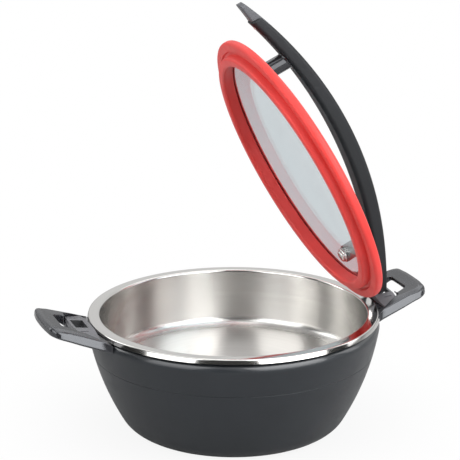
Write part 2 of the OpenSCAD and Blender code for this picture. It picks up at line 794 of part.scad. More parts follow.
module lid_arm() {
    front_half = [for (i = [0:sweep_n]) let (x = -nose_x + nose_x * i / sweep_n)
        [x, arm_end_hw + (arm_mid_hw - arm_end_hw) * cos(90 * x / nose_x), 0]];
    rear_half = concat([for (p = backwards(front_half)) [-p.x, p.y, 0]], [[tail_x, arm_end_hw, 0]]);
    top = arch(arm_top, arm_top_r, -nose_x, tail_x);
    low = backwards(arch(arm_low, arm_low_r, -nose_x, tail_x));
    last = len(low) - 1;
    color([0.2, 0.2, 0.2])
    swung()
        difference() {
            union() {
                intersection() {
                    linear_extrude(through)
                        polygon(rounded(both_sides(concat(front_half, rear_half))));
                    across(through)
                        intersection() {
                            polygon(rounded(concat([for (p = top) [p.x, p.y, 0]],
                                [for (i = [0:last]) [low[i].x, low[i].y, i == last ? nose_r : 0]])));
                            union() {
                                translate([-through, 0])
                                    square([through + hinge.x, through]);
                                translate(hinge)
                                    circle(tail_r);
                            }
                        }
                }
                intersection() {
                    across(2 * lug_hw)
                        union() {
                            translate(hinge)
                                circle(eye_r);
                            translate([hinge.x - eye_r, hinge.y])
                                square([2 * eye_r, arm_mid_t + arm_up]);
                        }
                    across(2 * lug_hw)
                        polygon(concat(arch(arm_top - arm_end_t / 2, arm_top_r, -nose_x, nose_x),
                            [[nose_x, 0], [-nose_x, 0]]));
                }
            }
            rod_y(hinge, bush_out_r + pin_hold, -through, through);
            tab_tongue(fit);
            at_posts()
                cylinder(d = post_screw_d + 2 * screw_fit,
                    h = arch_z(arm_low, arm_low_r, post_x) + post_screw_in + screw_fit);
            translate([tab_screw_x, 0, tab_screw_z() - through]) {
                cylinder(d = tab_screw_d + 2 * screw_fit, h = 2 * through);
                cylinder(r = tab_screw_d * (0.5 + head_ratio) + fit, h = through);
            }
        }
}
// Seat of the thumb tab screw's head, above the arm's underside
function tab_screw_z() = arch_z(arm_low, arm_low_r, tab_screw_x) + tab_head_deep;
module tab_plan(grow) {
    linear_extrude(through)
        polygon(rounded(both_sides([[-tab_seat_x + grow, tab_in_hw + grow, 0],
            [-nose_x, tab_in_hw + grow, 0], [-tab_x - grow, tab_out_hw + grow, tab_tip_r]])));
}
module tab_tongue(grow) {
    intersection() {
        across(through)
            polygon(concat(arch(arm_top + grow, arm_top_r, -tab_x, 0),
                backwards(arch(arm_top - tab_t - grow, arm_top_r, -tab_x, 0))));
        tab_plan(grow);
    }
}
// The thumb tab outside the arm, thinner towards its tip
module tab_blade() {
    root = -nose_x - fit;
    intersection() {
        across(through)
            polygon(concat(arch(arm_top, arm_top_r, -tab_x, root),
                [[root, arch_z(arm_top, arm_top_r, root) - tab_root_t],
                [-tab_x, arch_z(arm_top, arm_top_r, tab_x) - tab_tip_t]]));
        tab_plan(0);
    }
}
module hinge_bush() {
    color([0.8, 0.65, 0.35])
    difference() {
        rod_y(hinge, bush_out_r, -lug_hw, lug_hw);
        rod_y(hinge, bush_in_r, -through, through);
    }
}
module thumb_tab() {
    color([0.35, 0.35, 0.36])
    swung()
        difference() {
            union() {
                tab_tongue(0);
                tab_blade();
            }
            translate([tab_screw_x, 0, 0])
                cylinder(d = tab_screw_d + 2 * screw_fit,
                    h = arch_z(arm_top - tab_t, arm_top_r, tab_screw_x) + tab_screw_in + screw_fit);
        }
}
module tab_screw() {
    color([0.7, 0.7, 0.7])
    swung()
        translate([tab_screw_x, 0, tab_screw_z()])
            screw(tab_screw_d,
                arch_z(arm_top - tab_t, arm_top_r, tab_screw_x) + tab_screw_in - tab_screw_z());
}
module front_post() {
    color([0.08, 0.08, 0.08])
    swung()
        front_side()
            post_closed();
}
module rear_post() {
    color([0.08, 0.08, 0.08])
    swung()
        post_closed();
}
// The rear post in the closed lid's place
module post_closed() {
    difference() {
        intersection() {
            translate([post_x, 0, post_foot_z])
                cylinder(d = post_d, h = arm_up);
            under_arm();
        }
        dome_shell(-glass_t, glass_t + post_gasket_t, glass_r);
        post_holes(post_screw_d + 2 * screw_fit);
    }
}
module post_gaskets() {
    color([0.12, 0.12, 0.12])
    swung()
        difference() {
            intersection() {
                dome_shell(glass_t, glass_t + post_gasket_t, glass_r);
                post_holes(post_d);
            }
            post_holes(post_screw_d + 2 * screw_fit);
        }
}
module screw_washers() {
    color([0.75, 0.75, 0.75])
    swung()
        difference() {
            at_posts()
                translate([0, 0, cup_z])
                    cylinder(d = cup_d, h = cup_t + glass_t / 2);
            dome_shell(0, 2 * glass_t, glass_r);
            post_holes(post_screw_d + 2 * screw_fit);
        }
}
module post_screws() {
    color([0.78, 0.78, 0.78])
    swung()
        at_posts()
            union() {
                translate([0, 0, cup_z])
                    cylinder(d = post_screw_d,
                        h = arch_z(arm_low, arm_low_r, post_x) + post_screw_in - cup_z);
                translate([0, 0, cup_z - post_head_h])
                    cylinder(d = post_head_d, h = post_head_h);
            }
}

outer_bowl();
inner_pot();
rim_gasket();
insulation_core();
base_plug();
foot_ring();
front_handle();
rear_handle();
handle_screws();
front_keeper();
rear_keeper();
keeper_screws();
hinge_pin();
hinge_clip();
hinge_washers();
lid_glass();
lid_seal();
lid_arm();
hinge_bush();
thumb_tab();
tab_screw();
front_post();
rear_post();
post_gaskets();
screw_washers();
post_screws();
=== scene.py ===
# Dresses the packed serving dish with modelled pieces, finishes and a small studio.

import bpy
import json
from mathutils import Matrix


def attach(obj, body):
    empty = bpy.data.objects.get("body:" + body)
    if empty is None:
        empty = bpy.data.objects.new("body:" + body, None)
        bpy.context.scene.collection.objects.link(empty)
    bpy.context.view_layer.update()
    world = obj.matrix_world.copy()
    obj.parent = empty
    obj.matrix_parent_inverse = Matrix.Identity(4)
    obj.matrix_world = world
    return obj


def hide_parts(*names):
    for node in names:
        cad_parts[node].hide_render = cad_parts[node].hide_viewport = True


bl_info = {
    "name": "Serving dish with a hinged glass lid",
    "version": (1, 0, 0),
    "blender": (4, 5, 0),
    "location": "3D View > Sidebar > Dish",
    "description": "Models the dish's pieces and finishes round its packed frame",
    "category": "Object",
}

import json
import math

import bmesh
import bpy
from bpy.props import FloatProperty, FloatVectorProperty, PointerProperty
from mathutils import Matrix, Vector

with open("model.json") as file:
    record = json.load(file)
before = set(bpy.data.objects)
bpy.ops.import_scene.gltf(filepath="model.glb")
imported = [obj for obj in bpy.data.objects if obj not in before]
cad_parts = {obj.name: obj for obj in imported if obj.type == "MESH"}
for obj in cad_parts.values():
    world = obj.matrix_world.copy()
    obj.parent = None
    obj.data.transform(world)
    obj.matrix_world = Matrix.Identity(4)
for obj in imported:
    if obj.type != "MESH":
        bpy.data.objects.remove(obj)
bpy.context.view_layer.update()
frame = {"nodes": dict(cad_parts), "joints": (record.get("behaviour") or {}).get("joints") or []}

HINGE_JOINT = frame["joints"][0]
HINGE = Vector(HINGE_JOINT["pos_m"])
OPEN_ANGLE = math.radians(HINGE_JOINT["range_deg"][1] - HINGE_JOINT["range_deg"][0])
# Swings a piece of the closed lid up to where the lid rests, open
LID_UP = Matrix.Translation(HINGE) @ Matrix.Rotation(OPEN_ANGLE, 4, "Y") @ Matrix.Translation(-HINGE)
# Turns a piece of the hinge side round to the front side
TO_FRONT = Matrix.Diagonal((-1.0, 1.0, 1.0, 1.0))

# How finely round pieces, small round pieces, corners and the arm are divided
ROUND_STEPS = 224
SEAL_STEPS = 256
SMALL_ROUND_STEPS = 64
CORNER_STEPS = 6
ARCH_STEPS = 72
MERGE = 1e-6  # points closer than this are one point
PARALLEL = 1e-12  # lines whose cross product is below this don't meet
SLACK = 1e-9  # how far past its ends a line still counts
THROUGH = 1.0  # length of a cutter that goes right through a piece
SHARP_ANGLE = math.radians(38.0)  # edges with a wider angle stay sharp


def length(name, description, default):
    """A length in metres that a user may change."""
    return FloatProperty(name=name, description=description, default=default, min=0.0,
                         precision=5, unit="LENGTH")


def colour(name, description, default):
    """A colour that a user may change."""
    return FloatVectorProperty(name=name, description=description, default=default, size=3,
                               min=0.0, max=1.0, subtype="COLOR")


def angle(name, description, default):
    """An angle in degrees that a user may change."""
    return FloatProperty(name=name, description=description, default=math.radians(default), min=0.0,
                         subtype="ANGLE")


class BowlSizes(bpy.types.PropertyGroup):
    """Sizes of the outer bowl and the steel pot."""
    rim: length("Rim height", "Height of the steel rim above the table", 0.107)
    mouth: length("Mouth radius", "Radius of the pot's opening", 0.120)
    flange: length("Flange width", "Width of the flat steel flange", 0.0115)
    edge: length("Edge height", "Height of the flange's turned-down edge", 0.0042)
    edge_lean: angle("Edge lean", "Angle at which the turned-down edge leans in at its top", 15.0)
    edge_bend: length("Edge bend", "Radius of the turned-down edge's bend", 0.0015)
    mouth_bend: length("Mouth bend", "Radius from the pot's wall to the flange", 0.002)
    steel: length("Steel", "Thickness of the pot's steel", 0.0012)
    depth: length("Pot depth", "Depth of the pot below the rim", 0.054)
    cove: length("Cove radius", "Radius between the pot's wall and floor", 0.009)
    cove_place: length("Cove place", "Distance of the cove's centre from the axis", 0.10896)
    shell: length("Shell", "Wall of the outer bowl", 0.0026)
    base: length("Base radius", "Radius of the bowl's flat base", 0.0825)
    heel: length("Heel radius", "Radius between the base and the wall", 0.023)
    wall: length("Wall radius", "Radius of the swelling wall, from the side", 0.239)
    shoulder: length("Shoulder radius", "Radius of the shoulder under the rim", 0.007)
    shadow_gap: length("Shadow gap", "Gap between the steel edge and the bowl", 0.0006)
    lip_gap: length("Lip gap", "Gap between the mouth and the bowl's lip", 0.0022)
    groove_drop: length("Groove drop", "How far below the rim the parting line is", 0.035)
    groove_depth: length("Groove depth", "Depth of the parting line", 0.0002)
    groove_height: length("Groove height", "Height of the parting line", 0.0009)
    foot: length("Foot radius", "Middle radius of the foot ring", 0.0725)
    foot_width: length("Foot width", "Width of the foot ring", 0.008)
    foot_height: length("Foot height", "How far the foot ring stands out", 0.001)
    foot_groove: length("Foot groove", "Depth of the foot ring's groove", 0.0012)
    plug: length("Plug radius", "Radius of the filling hole in the base", 0.012)


class HandleSizes(bpy.types.PropertyGroup):
    """Sizes of the two loop handles."""
    reach: length("Reach", "How far the grip reaches past the flange", 0.048)
    root_in: length("Root depth", "Where the sloping lines start, inside the flange", 0.020)
    root_half: length("Root half width", "Half width at the root line", 0.044)
    grip_half: length("Grip half width", "Half width of the grip", 0.0355)
    corner: length("Corner radius", "Radius of the grip's corners, from above", 0.013)
    bar: length("Grip bar", "Width of the grip's bar", 0.0165)
    rise: length("Grip rise", "Height of the grip's top above the rim", 0.015)
    grip_thick: length("Grip thickness", "Thickness of the grip", 0.0086)
    root_drop: length("Root drop", "Depth of the root's top below the rim", 0.0059)
    root_thick: length("Root thickness", "Thickness at the root line", 0.012)
    top_round: length("Top rounding", "Radius along the outer top edge", 0.0036)
    inner_round: length("Inner rounding", "Radius along the finger gap's top edge", 0.001)
    low_round: length("Low rounding", "Radius along the lower edges", 0.0014)
    lean: length("Side lean", "How far the sides lean in at their top", 0.0042)
    end_lean: length("End lean", "How far the grip's outer edge leans in at its top", 0.001)
    skirt: length("Skirt", "Width of the skirt round the hollow underside", 0.005)
    plate: length("Plate", "Thickness of the top over the hollow", 0.0044)
    finger_in: length("Inner gap half", "Half width of the finger gap at the keeper", 0.020)
    finger_out: length("Outer gap half", "Half width of the finger gap at the grip", 0.016)
    finger_corner: length("Gap corner", "Radius of the finger gap's corners", 0.003)
    wall: length("Gap wall", "Thickness of the wall between the finger gap and the hollow", 0.0025)
    wall_drop: length("Wall drop", "How far the gap's inner wall reaches below the root", 0.001)
    level_half: length("Level half width", "Half width of the level top, outside which it falls", 0.029)
    fall: angle("Fall", "Angle at which the top falls away to the sides", 17.0)
    skirt_edge: length("Skirt edge", "Least height of the outer edge", 0.0022)
    crown: length("Crown", "How far the grip's outer edge lies below its crown", 0.0012)
    well_in: length("Well start", "Where the well starts, past the keeper's edge", 0.004)
    well_half: length("Well half width", "Half width of the well under the window", 0.015)
    rim_gap: length("Rim gap", "Gap between the handle and the flange", 0.0005)


class KeeperSizes(bpy.types.PropertyGroup):
    """Sizes of the keepers and the hinge ears."""
    start: length("Start", "How far outside the flange the keeper starts", 0.0015)
    run: length("Length", "Length of the keeper up its slope", 0.019)
    rise: length("Rise", "Height of its middle above the rim, at its inner edge", 0.0019)
    tilt: angle("Slope", "Slope of the keeper", 8.0)
    in_half: length("Inner half width", "Half width at its inner edge", 0.035)
    out_half: length("Outer half width", "Half width at its outer edge", 0.025)
    thick: length("Thickness", "Thickness of its middle", 0.0044)
    flat_half: length("Flat half width", "Half width of the flat middle", 0.014)
    bend: length("Bend", "Radius between the middle and the ends", 0.006)
    fall: length("Fall", "Drop of the sloped ends", 0.0030)
    end_curve: length("End curve", "How far the outer edge curves back", 0.0020)
    edge_round: length("Edge rounding", "Radius on the upper edges", 0.0007)
    fit: length("Fit", "Gap round the keeper in its seat", 0.0001)
    bar: length("Bar", "Width of the bar outside the window", 0.0026)
    window_half: length("Window half width", "Half width of the window", 0.0105)
    window: length("Window", "Length of the window", 0.0114)
    slit_place: length("Slit place", "Sideways place of the slits", 0.019)
    slit_width: length("Slit width", "Width of a slit", 0.0016)
    slit: length("Slit", "Length of a slit", 0.007)
    slit_depth: length("Slit depth", "Depth of a slit", 0.0007)
    ear_place: length("Ear place", "Inner face of each hinge ear", 0.00805)
    ear: length("Ear", "Thickness of a hinge ear", 0.004)
    eye: length("Eye", "Radius of the hinge eyes", 0.0052)
    ear_foot: length("Ear foot", "Length of an ear's foot on the keeper", 0.005)
    ear_bend: length("Ear bend", "How far below the pin an ear bends", 0.0091)
    pin: length("Pin radius", "Radius of the hinge pin", 0.0025)
    pin_head: length("Pin head", "Radius of the pin's head", 0.0041)
    pin_head_thick: length("Head thickness", "Thickness of the pin's head", 0.0015)
    pin_tail: length("Pin tail", "How far the pin's free end stands out", 0.0016)


class LidSizes(bpy.types.PropertyGroup):
    """Sizes of the glass, its seal and its posts."""
    glass: length("Glass radius", "Radius of the glass", 0.1195)
    glass_thick: length("Glass thickness", "Thickness of the glass", 0.004)
    dome: length("Dome radius", "Radius of the dome's inside", 0.600)
    glass_rise: length("Glass rise", "Height of the glass over the rim, at the lip", 0.0065)
    lip_radius: length("Lip radius", "Radius of the seal's inner edge", 0.112)
    bead: length("Bead radius", "Outer radius of the seal's bead", 0.131)
    bead_height: length("Bead height", "Height of the bead's outer edge", 0.007)
    bead_round: length("Bead rounding", "Radius on the bead", 0.003)
    bead_crest: length("Bead crest", "Radius on top of the bead's outer edge", 0.0025)
    bead_top: length("Bead top", "Width of the bead's sloped top", 0.007)
    bead_rise: length("Bead rise", "Rise of the bead's sloped top", 0.002)
    bead_gap: length("Bead gap", "Gap between the closed bead and the flange", 0.0004)
    plug_depth: length("Plug depth", "How far the seal reaches into the pot", 0.0055)
    plug_gap: length("Plug gap", "Gap between the plug and the pot's mouth", 0.0015)
    plug_foot: length("Plug foot", "Width of the plug's foot", 0.009)
    plug_round: length("Plug rounding", "Radius on the plug's edges", 0.0024)
    valley_height: length("Valley height", "Height of the valley beside the plug", 0.0016)
    valley: length("Valley", "Width of the valley beside the plug", 0.003)
    wrap: length("Wrap", "How far the seal wraps the glass's edge", 0.0016)
    lip: length("Lip", "Thickness of the lip over the glass", 0.0016)
    seal_edge: length("Seal edge", "Small radius on the moulded seal", 0.001)
    post_place: length("Post place", "Distance of the posts from the axis", 0.0955)
    post: length("Post radius", "Radius of the posts", 0.00775)
    post_washer: length("Soft washer", "Thickness of the soft washers", 0.001)
    hole: length("Hole radius", "Radius of the holes in the glass", 0.0035)
    screw: length("Screw radius", "Radius of the post screws", 0.0025)
    screw_in: length("Screw depth", "How far a post screw enters the arm", 0.006)
    head: length("Head radius", "Radius of a screw's head", 0.0055)
    head_height: length("Head height", "Height of a screw's head", 0.0026)
    cup: length("Cup radius", "Radius of the washers under the heads", 0.007)
    cup_thick: length("Cup thickness", "Thickness of those washers", 0.0016)


class ArmSizes(bpy.types.PropertyGroup):
    """Sizes of the arched arm and its thumb tab."""
    rise: length("Rise", "Height of the arm's top above the rim", 0.0634)
    arch: length("Arch", "Radius of the arm's arched top", 0.345)
    middle_thick: length("Middle thickness", "Thickness of the arm's middle", 0.0146)
    end_thick: length("End thickness", "Upright thickness at the nose", 0.0114)
    middle_half: length("Middle half width", "Half width of the arm's middle", 0.011)
    end_half: length("End half width", "Half width of the arm's ends", 0.007)
    nose: length("Nose", "How far the nose reaches past the flange", 0.0115)
    nose_round: length("Nose rounding", "Radius under the nose", 0.002)
    tail: length("Tail", "How far the tail reaches past the flange", 0.0155)
    tail_round: length("Tail rounding", "Radius round the tail's end", 0.003)
    edge_round: length("Top rounding", "Radius along the arm's upper edges", 0.0034)
    low_round: length("Low rounding", "Radius along the arm's lower edges", 0.0042)
    end_round: length("End rounding", "Radius round the arm's ends", 0.0016)
    tab_reach: length("Tab reach", "How far the thumb tab reaches past the flange", 0.0303)
    tab_seat: length("Tab seat", "Length of the tab's seat in the arm", 0.012)
    tab_thick: length("Tab thickness", "Thickness of the tab's tongue in the arm", 0.003)
    tab_root: length("Tab root", "Thickness of the tab where it leaves the arm", 0.0098)
    tab_end: length("Tab end", "Thickness of the tab at its tip", 0.005)
    tab_in: length("Tab root half", "Half width of the tab at its seat", 0.006)
    tab_out: length("Tab tip half", "Half width of the tab at its tip", 0.0046)
    tab_tip: length("Tab tip radius", "Radius of the tip's corners", 0.0042)
    tab_round: length("Tab rounding", "Radius along the tab's upper edges", 0.0008)
    tab_low_round: length("Tab low rounding", "Radius along the tab's lower edges", 0.0018)
    seam: length("Seam", "Gap round the tab in the arm", 0.00025)


class DishColours(bpy.types.PropertyGroup):
    """Colours of the finishes."""
    bowl: colour("Bowl", "Satin black of the outer bowl", (0.011, 0.0132, 0.0158))
    handle: colour("Handles", "Satin black of the handles", (0.008, 0.008, 0.010))
    keeper: colour("Keepers", "Dark grey of the keepers", (0.10, 0.10, 0.108))
    arm: colour("Arm", "Charcoal of the lid's arm", (0.012, 0.0125, 0.0135))
    tab: colour("Thumb tab", "Grey of the thumb tab", (0.075, 0.076, 0.082))
    post: colour("Posts", "Gloss black of the posts", (0.012, 0.012, 0.014))
    silicone: colour("Silicone", "Red of the seal", (0.70, 0.036, 0.030))
    steel: colour("Steel", "Steel of the pot and screws", (0.66, 0.65, 0.63))
    glass: colour("Glass", "Tint of the glass", (0.57, 0.63, 0.66))
    # also painted on the keepers' window walls, as painted shade
    rubber: colour("Rubber", "Black of the rubber pieces", (0.018, 0.018, 0.019))
    foam: colour("Foam", "Cream of the insulation", (0.80, 0.74, 0.58))
    brass: colour("Brass", "Brass of the bush", (0.70, 0.52, 0.25))
    washer: colour("Washers", "White of the hinge washers", (0.70, 0.68, 0.62))
    floor: colour("Floor", "Paper of the studio floor", (0.50, 0.50, 0.50))


# Outlines

def arc(centre, radius, start, end, steps):
    """Points of an arc about a centre, with the angles in degrees."""
    turns = [math.radians(start + (end - start) * i / steps) for i in range(steps + 1)]
    return [Vector((centre[0] + radius * math.cos(a), centre[1] + radius * math.sin(a)))
            for a in turns]


def circle(centre, radius, count):
    """Points of a full circle about a centre."""
    return arc(centre, radius, 0, 360 - 360 / count, count - 1)


def rounded(points, steps=CORNER_STEPS):
    """Closed outline through (a, b, radius) points, each corner with its own radius."""
    shape = []
    for i, (a, b, radius) in enumerate(points):
        here = Vector((a, b))
        if radius <= 0.0:
            shape.append(here)
            continue
        back = (Vector(points[i - 1][:2]) - here).normalized()
        ahead = (Vector(points[(i + 1) % len(points)][:2]) - here).normalized()
        half = back.angle(ahead) / 2.0
        centre = here + (back + ahead).normalized() * (radius / math.sin(half))
        first = here + back * (radius / math.tan(half)) - centre
        last = here + ahead * (radius / math.tan(half)) - centre
        turn = math.atan2(first.x * last.y - first.y * last.x, first.dot(last))
        start = math.degrees(math.atan2(first.y, first.x))
        shape += arc(centre, radius, start, start + math.degrees(turn), steps)
    return shape


def mirrored(points):
    """The outline of one half, given for y above 0, and its mirror image."""
    return list(points) + [(a, -b, radius) for a, b, radius in reversed(points)]


def reach(shape, centre, angle):
    """Distance from a centre to a closed outline in one direction."""
    ray = Vector((math.cos(angle), math.sin(angle)))
    best = 0.0
    for a, b in zip(shape, shape[1:] + shape[:1]):
        side = b - a
        cross = ray.x * side.y - ray.y * side.x
        if abs(cross) < PARALLEL:
            continue
        gap = a - centre
        along = (gap.x * side.y - gap.y * side.x) / cross
        share = (gap.x * ray.y - gap.y * ray.x) / cross
        if along > 0.0 and -SLACK <= share <= 1.0 + SLACK:
            best = max(best, along)
    return best


# Solids

def tidy(bm):
    """Merges doubles and points the faces outwards."""
    bmesh.ops.remove_doubles(bm, verts=bm.verts[:], dist=MERGE)
    bmesh.ops.recalc_face_normals(bm, faces=bm.faces[:])
    return bm


def lathe(profile, steps=ROUND_STEPS, closed=True):
    """Turns an (r, z) profile round the Z axis."""
    bm = bmesh.new()
    ring = [bm.verts.new((r, 0.0, z)) for r, z in profile]
    ends = ring[1:] + ring[:1] if closed else ring[1:]
    edges = [bm.edges.new(pair) for pair in zip(ring, ends)]
    bmesh.ops.spin(bm, geom=ring + edges, cent=(0, 0, 0), axis=(0, 0, 1), dvec=(0, 0, 0),
                   angle=math.tau, steps=steps, use_merge=True, use_normal_flip=False,
                   use_duplicate=False)
    return tidy(bm)


def new_points(made):
    """The vertices among the things that an operator made."""
    return [item for item in made["geom"] if isinstance(item, bmesh.types.BMVert)]


def sweep(sections, closed=False):
    """Extrudes the first section's loop through the other sections in turn."""
    bm = bmesh.new()
    loop = [bm.verts.new(point) for point in sections[0]]
    rim = [bm.edges.new(pair) for pair in zip(loop, loop[1:] + loop[:1])]
    start = rim
    for points in sections[1:] + (sections[:1] if closed else []):
        fresh = set(new_points(bmesh.ops.extrude_edge_only(bm, edges=rim)))
        loop = [next(edge.other_vert(v) for edge in v.link_edges if edge.other_vert(v) in fresh)
                for v in loop]
        for v, point in zip(loop, points):
            v.co = point
        rim = [bm.edges.get(pair) for pair in zip(loop, loop[1:] + loop[:1])]
    if not closed:
        for edges in (start, rim):
            bmesh.ops.contextual_create(bm, geom=edges)
    return tidy(bm)


def pulled(outline, way):
    """Extrudes the face inside a flat outline along a direction."""
    bm = bmesh.new()
    face = bm.faces.new([bm.verts.new(point) for point in outline])
    made = bmesh.ops.extrude_face_region(bm, geom=[face])
    bmesh.ops.translate(bm, verts=new_points(made), vec=way)
    return tidy(bm)


def prism(shape, low, high):
    """Extrudes an (x, y) outline from one height to another."""
    return pulled([(a, b, low) for a, b in shape], (0.0, 0.0, high - low))


def across(shape, start, end):
    """Extrudes an (x, z) outline along Y."""
    bm = prism(shape, -end, -start)
    upright = Matrix.Rotation(math.pi / 2, 3, "X")
    bmesh.ops.rotate(bm, verts=bm.verts[:], cent=(0, 0, 0), matrix=upright)
    return tidy(bm)


def block(low, high):
    """A box between two corners."""
    bm = bmesh.new()
    bmesh.ops.create_cube(bm, size=1.0)
    size = Vector(high) - Vector(low)
    bmesh.ops.scale(bm, verts=bm.verts[:], vec=size)
    bmesh.ops.translate(bm, verts=bm.verts[:], vec=Vector(low) + size / 2.0)
    return bm


def softened(bm, edges, radius):
    """Rounds some edges of a solid."""
    bmesh.ops.bevel(bm, geom=edges, offset=radius, segments=3, profile=0.5, affect="EDGES",
                    material=-1)
    return bm


def soft_sides(bm, radius):
    """Rounds the edges round both sides of a solid that was extruded along Y."""
    rims = [e for e in bm.edges if abs(e.verts[0].co.y - e.verts[1].co.y) < MERGE]
    return tidy(softened(bm, rims, radius))


def bar_section(x, half, low, top, low_round, top_round, steps):
    """One section of a bar that runs along X, with its corners rounded."""
    shape = rounded([(-half, low, low_round), (half, low, low_round),
                     (half, top, top_round), (-half, top, top_round)], steps)
    return [Vector((x, y, z)) for y, z in shape]


def placed(bm, matrix):
    """Moves a solid, and turns its faces out again where the move mirrors it."""
    bmesh.ops.transform(bm, matrix=matrix, verts=bm.verts[:])
    bmesh.ops.recalc_face_normals(bm, faces=bm.faces[:])
    return bm


def trial_object(bm, name):
    """A short-lived object for one Boolean."""
    mesh = bpy.data.meshes.new(name)
    bm.to_mesh(mesh)
    bm.free()
    thing = bpy.data.objects.new(name, mesh)
    bpy.context.scene.collection.objects.link(thing)
    return thing


def carved(solid, tools, operation="DIFFERENCE"):
    """The solid after each tool is cut away from it or joined to it."""
    target = trial_object(solid, "trial_solid")
    cutters = [trial_object(tool, "trial_tool") for tool in tools]
    for cutter in cutters:
        cut = target.modifiers.new("Cut", "BOOLEAN")
        cut.operation = operation
        cut.solver = "EXACT"
        cut.object = cutter
    bpy.context.view_layer.update()
    ready = target.evaluated_get(bpy.context.evaluated_depsgraph_get())
    result = bmesh.new()
    result.from_mesh(ready.data)
    for thing in [target] + cutters:
        mesh = thing.data
        bpy.data.objects.remove(thing)
        bpy.data.meshes.remove(mesh)
    if not result.faces:
        raise RuntimeError("a Boolean left nothing of a solid")
    return tidy(result)


def piece(bm, name, body, slot, finishes, *nodes, even=False):
    """Makes a solid a piece of the object that stands for CAD nodes.

    A piece made even is shaded by its large faces, so that its flats look flat."""
    for face in bm.faces:
        face.smooth = True
    for edge in bm.edges:
        edge.smooth = len(edge.link_faces) == 2 and edge.calc_face_angle(0.0) < SHARP_ANGLE
    mesh = bpy.data.meshes.new(name)
    bm.to_mesh(mesh)
    bm.free()
    for finish in finishes:
        mesh.materials.append(finish)
    thing = bpy.data.objects.new(name, mesh)
    bpy.context.scene.collection.objects.link(thing)
    if even:
        normals = thing.modifiers.new("Even faces", "WEIGHTED_NORMAL")
        normals.keep_sharp = True
    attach(thing, body)
    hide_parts(*nodes)
    return thing


# Finishes

def feed(tree, node, inputs):
    """Gives each named input of a node a plain value or another node's socket."""
    for key, value in inputs.items():
        if isinstance(value, bpy.types.NodeSocket):
            tree.links.new(value, node.inputs[key])
        else:
            node.inputs[key].default_value = value


def add(tree, kind, inputs=None, **settings):
    """Adds a node with its settings and inputs."""
    node = tree.nodes.new(kind)
    for name, value in settings.items():
        setattr(node, name, value)
    feed(tree, node, inputs or {})
    return node


def spread(tree, value, low, high, start=0.0, end=1.0):
    """Maps a value from one span to another, with soft ends."""
    node = add(tree, "ShaderNodeMapRange", {"Value": value, "From Min": start, "From Max": end,
                                            "To Min": low, "To Max": high},
               interpolation_type="SMOOTHSTEP")
    return node.outputs["Result"]


def maths(tree, operation, a, b=0.0, c=0.0):
    """One step of arithmetic on values."""
    return add(tree, "ShaderNodeMath", {0: a, 1: b, 2: c}, operation=operation).outputs[0]


def between(tree, mask, a, b):
    """Mixes two colours by a mask."""
    node = add(tree, "ShaderNodeMix", {0: mask, 6: a, 7: b}, data_type="RGBA")
    return node.outputs[2]


def opaque(rgb, gain=1.0):
    """A colour with its alpha, made lighter or darker by a gain."""
    return tuple(min(1.0, c * gain) for c in rgb) + (1.0,)


def effect(name, inputs, outputs):
    """An empty shader node group with named sockets."""
    tree = bpy.data.node_groups.new(name, "ShaderNodeTree")
    for label, kind in inputs:
        tree.interface.new_socket(name=label, in_out="INPUT", socket_type=kind)
    for label, kind in outputs:
        tree.interface.new_socket(name=label, in_out="OUTPUT", socket_type=kind)
    return tree, tree.nodes.new("NodeGroupInput").outputs, tree.nodes.new("NodeGroupOutput").inputs


VALUE = "NodeSocketFloat"
PLACE = "NodeSocketVector"


def moulded_grain(name):
    """Fine spark-eroded grain and a slow mottle, as on moulded plastic and rubber."""
    tree, given, result = effect(name, [("Place", PLACE), ("Scale", VALUE)],
                                 [("Height", VALUE), ("Mottle", VALUE)])
    fine = add(tree, "ShaderNodeTexNoise", {"Vector": given["Place"], "Scale": given["Scale"],
                                            "Detail": 2.0, "Roughness": 0.55})
    slow = add(tree, "ShaderNodeTexNoise", {"Vector": given["Place"], "Scale": 22.0,
                                            "Detail": 4.0, "Roughness": 0.5})
    tree.links.new(fine.outputs["Fac"], result["Height"])
    tree.links.new(spread(tree, slow.outputs["Fac"], 0.0, 1.0, 0.3, 0.7), result["Mottle"])
    return tree


def handling_marks(name):
    """Soft patches where hands and cloths have dulled or polished a surface."""
    tree, given, result = effect(name, [("Place", PLACE), ("Scale", VALUE)], [("Mask", VALUE)])
    patch = add(tree, "ShaderNodeTexNoise", {"Vector": given["Place"], "Scale": given["Scale"],
                                             "Detail": 5.0, "Roughness": 0.62, "Distortion": 0.8})
    tree.links.new(spread(tree, patch.outputs["Fac"], 0.0, 1.0, 0.46, 0.72), result["Mask"])
    return tree


def worn_edges(name):
    """Corners that handling has rubbed a little lighter."""
    tree, given, result = effect(name, [("Place", PLACE), ("Start", VALUE)], [("Mask", VALUE)])
    shape = add(tree, "ShaderNodeNewGeometry")
    full = maths(tree, "ADD", given["Start"], 0.10)
    corner = spread(tree, shape.outputs["Pointiness"], 0.0, 1.0, given["Start"], full)
    rub = add(tree, "ShaderNodeTexNoise", {"Vector": given["Place"], "Scale": 60.0, "Detail": 3.0})
    rubbed = spread(tree, rub.outputs["Fac"], 0.35, 1.0, 0.3, 0.7)
    tree.links.new(maths(tree, "MULTIPLY", corner, rubbed), result["Mask"])
    return tree


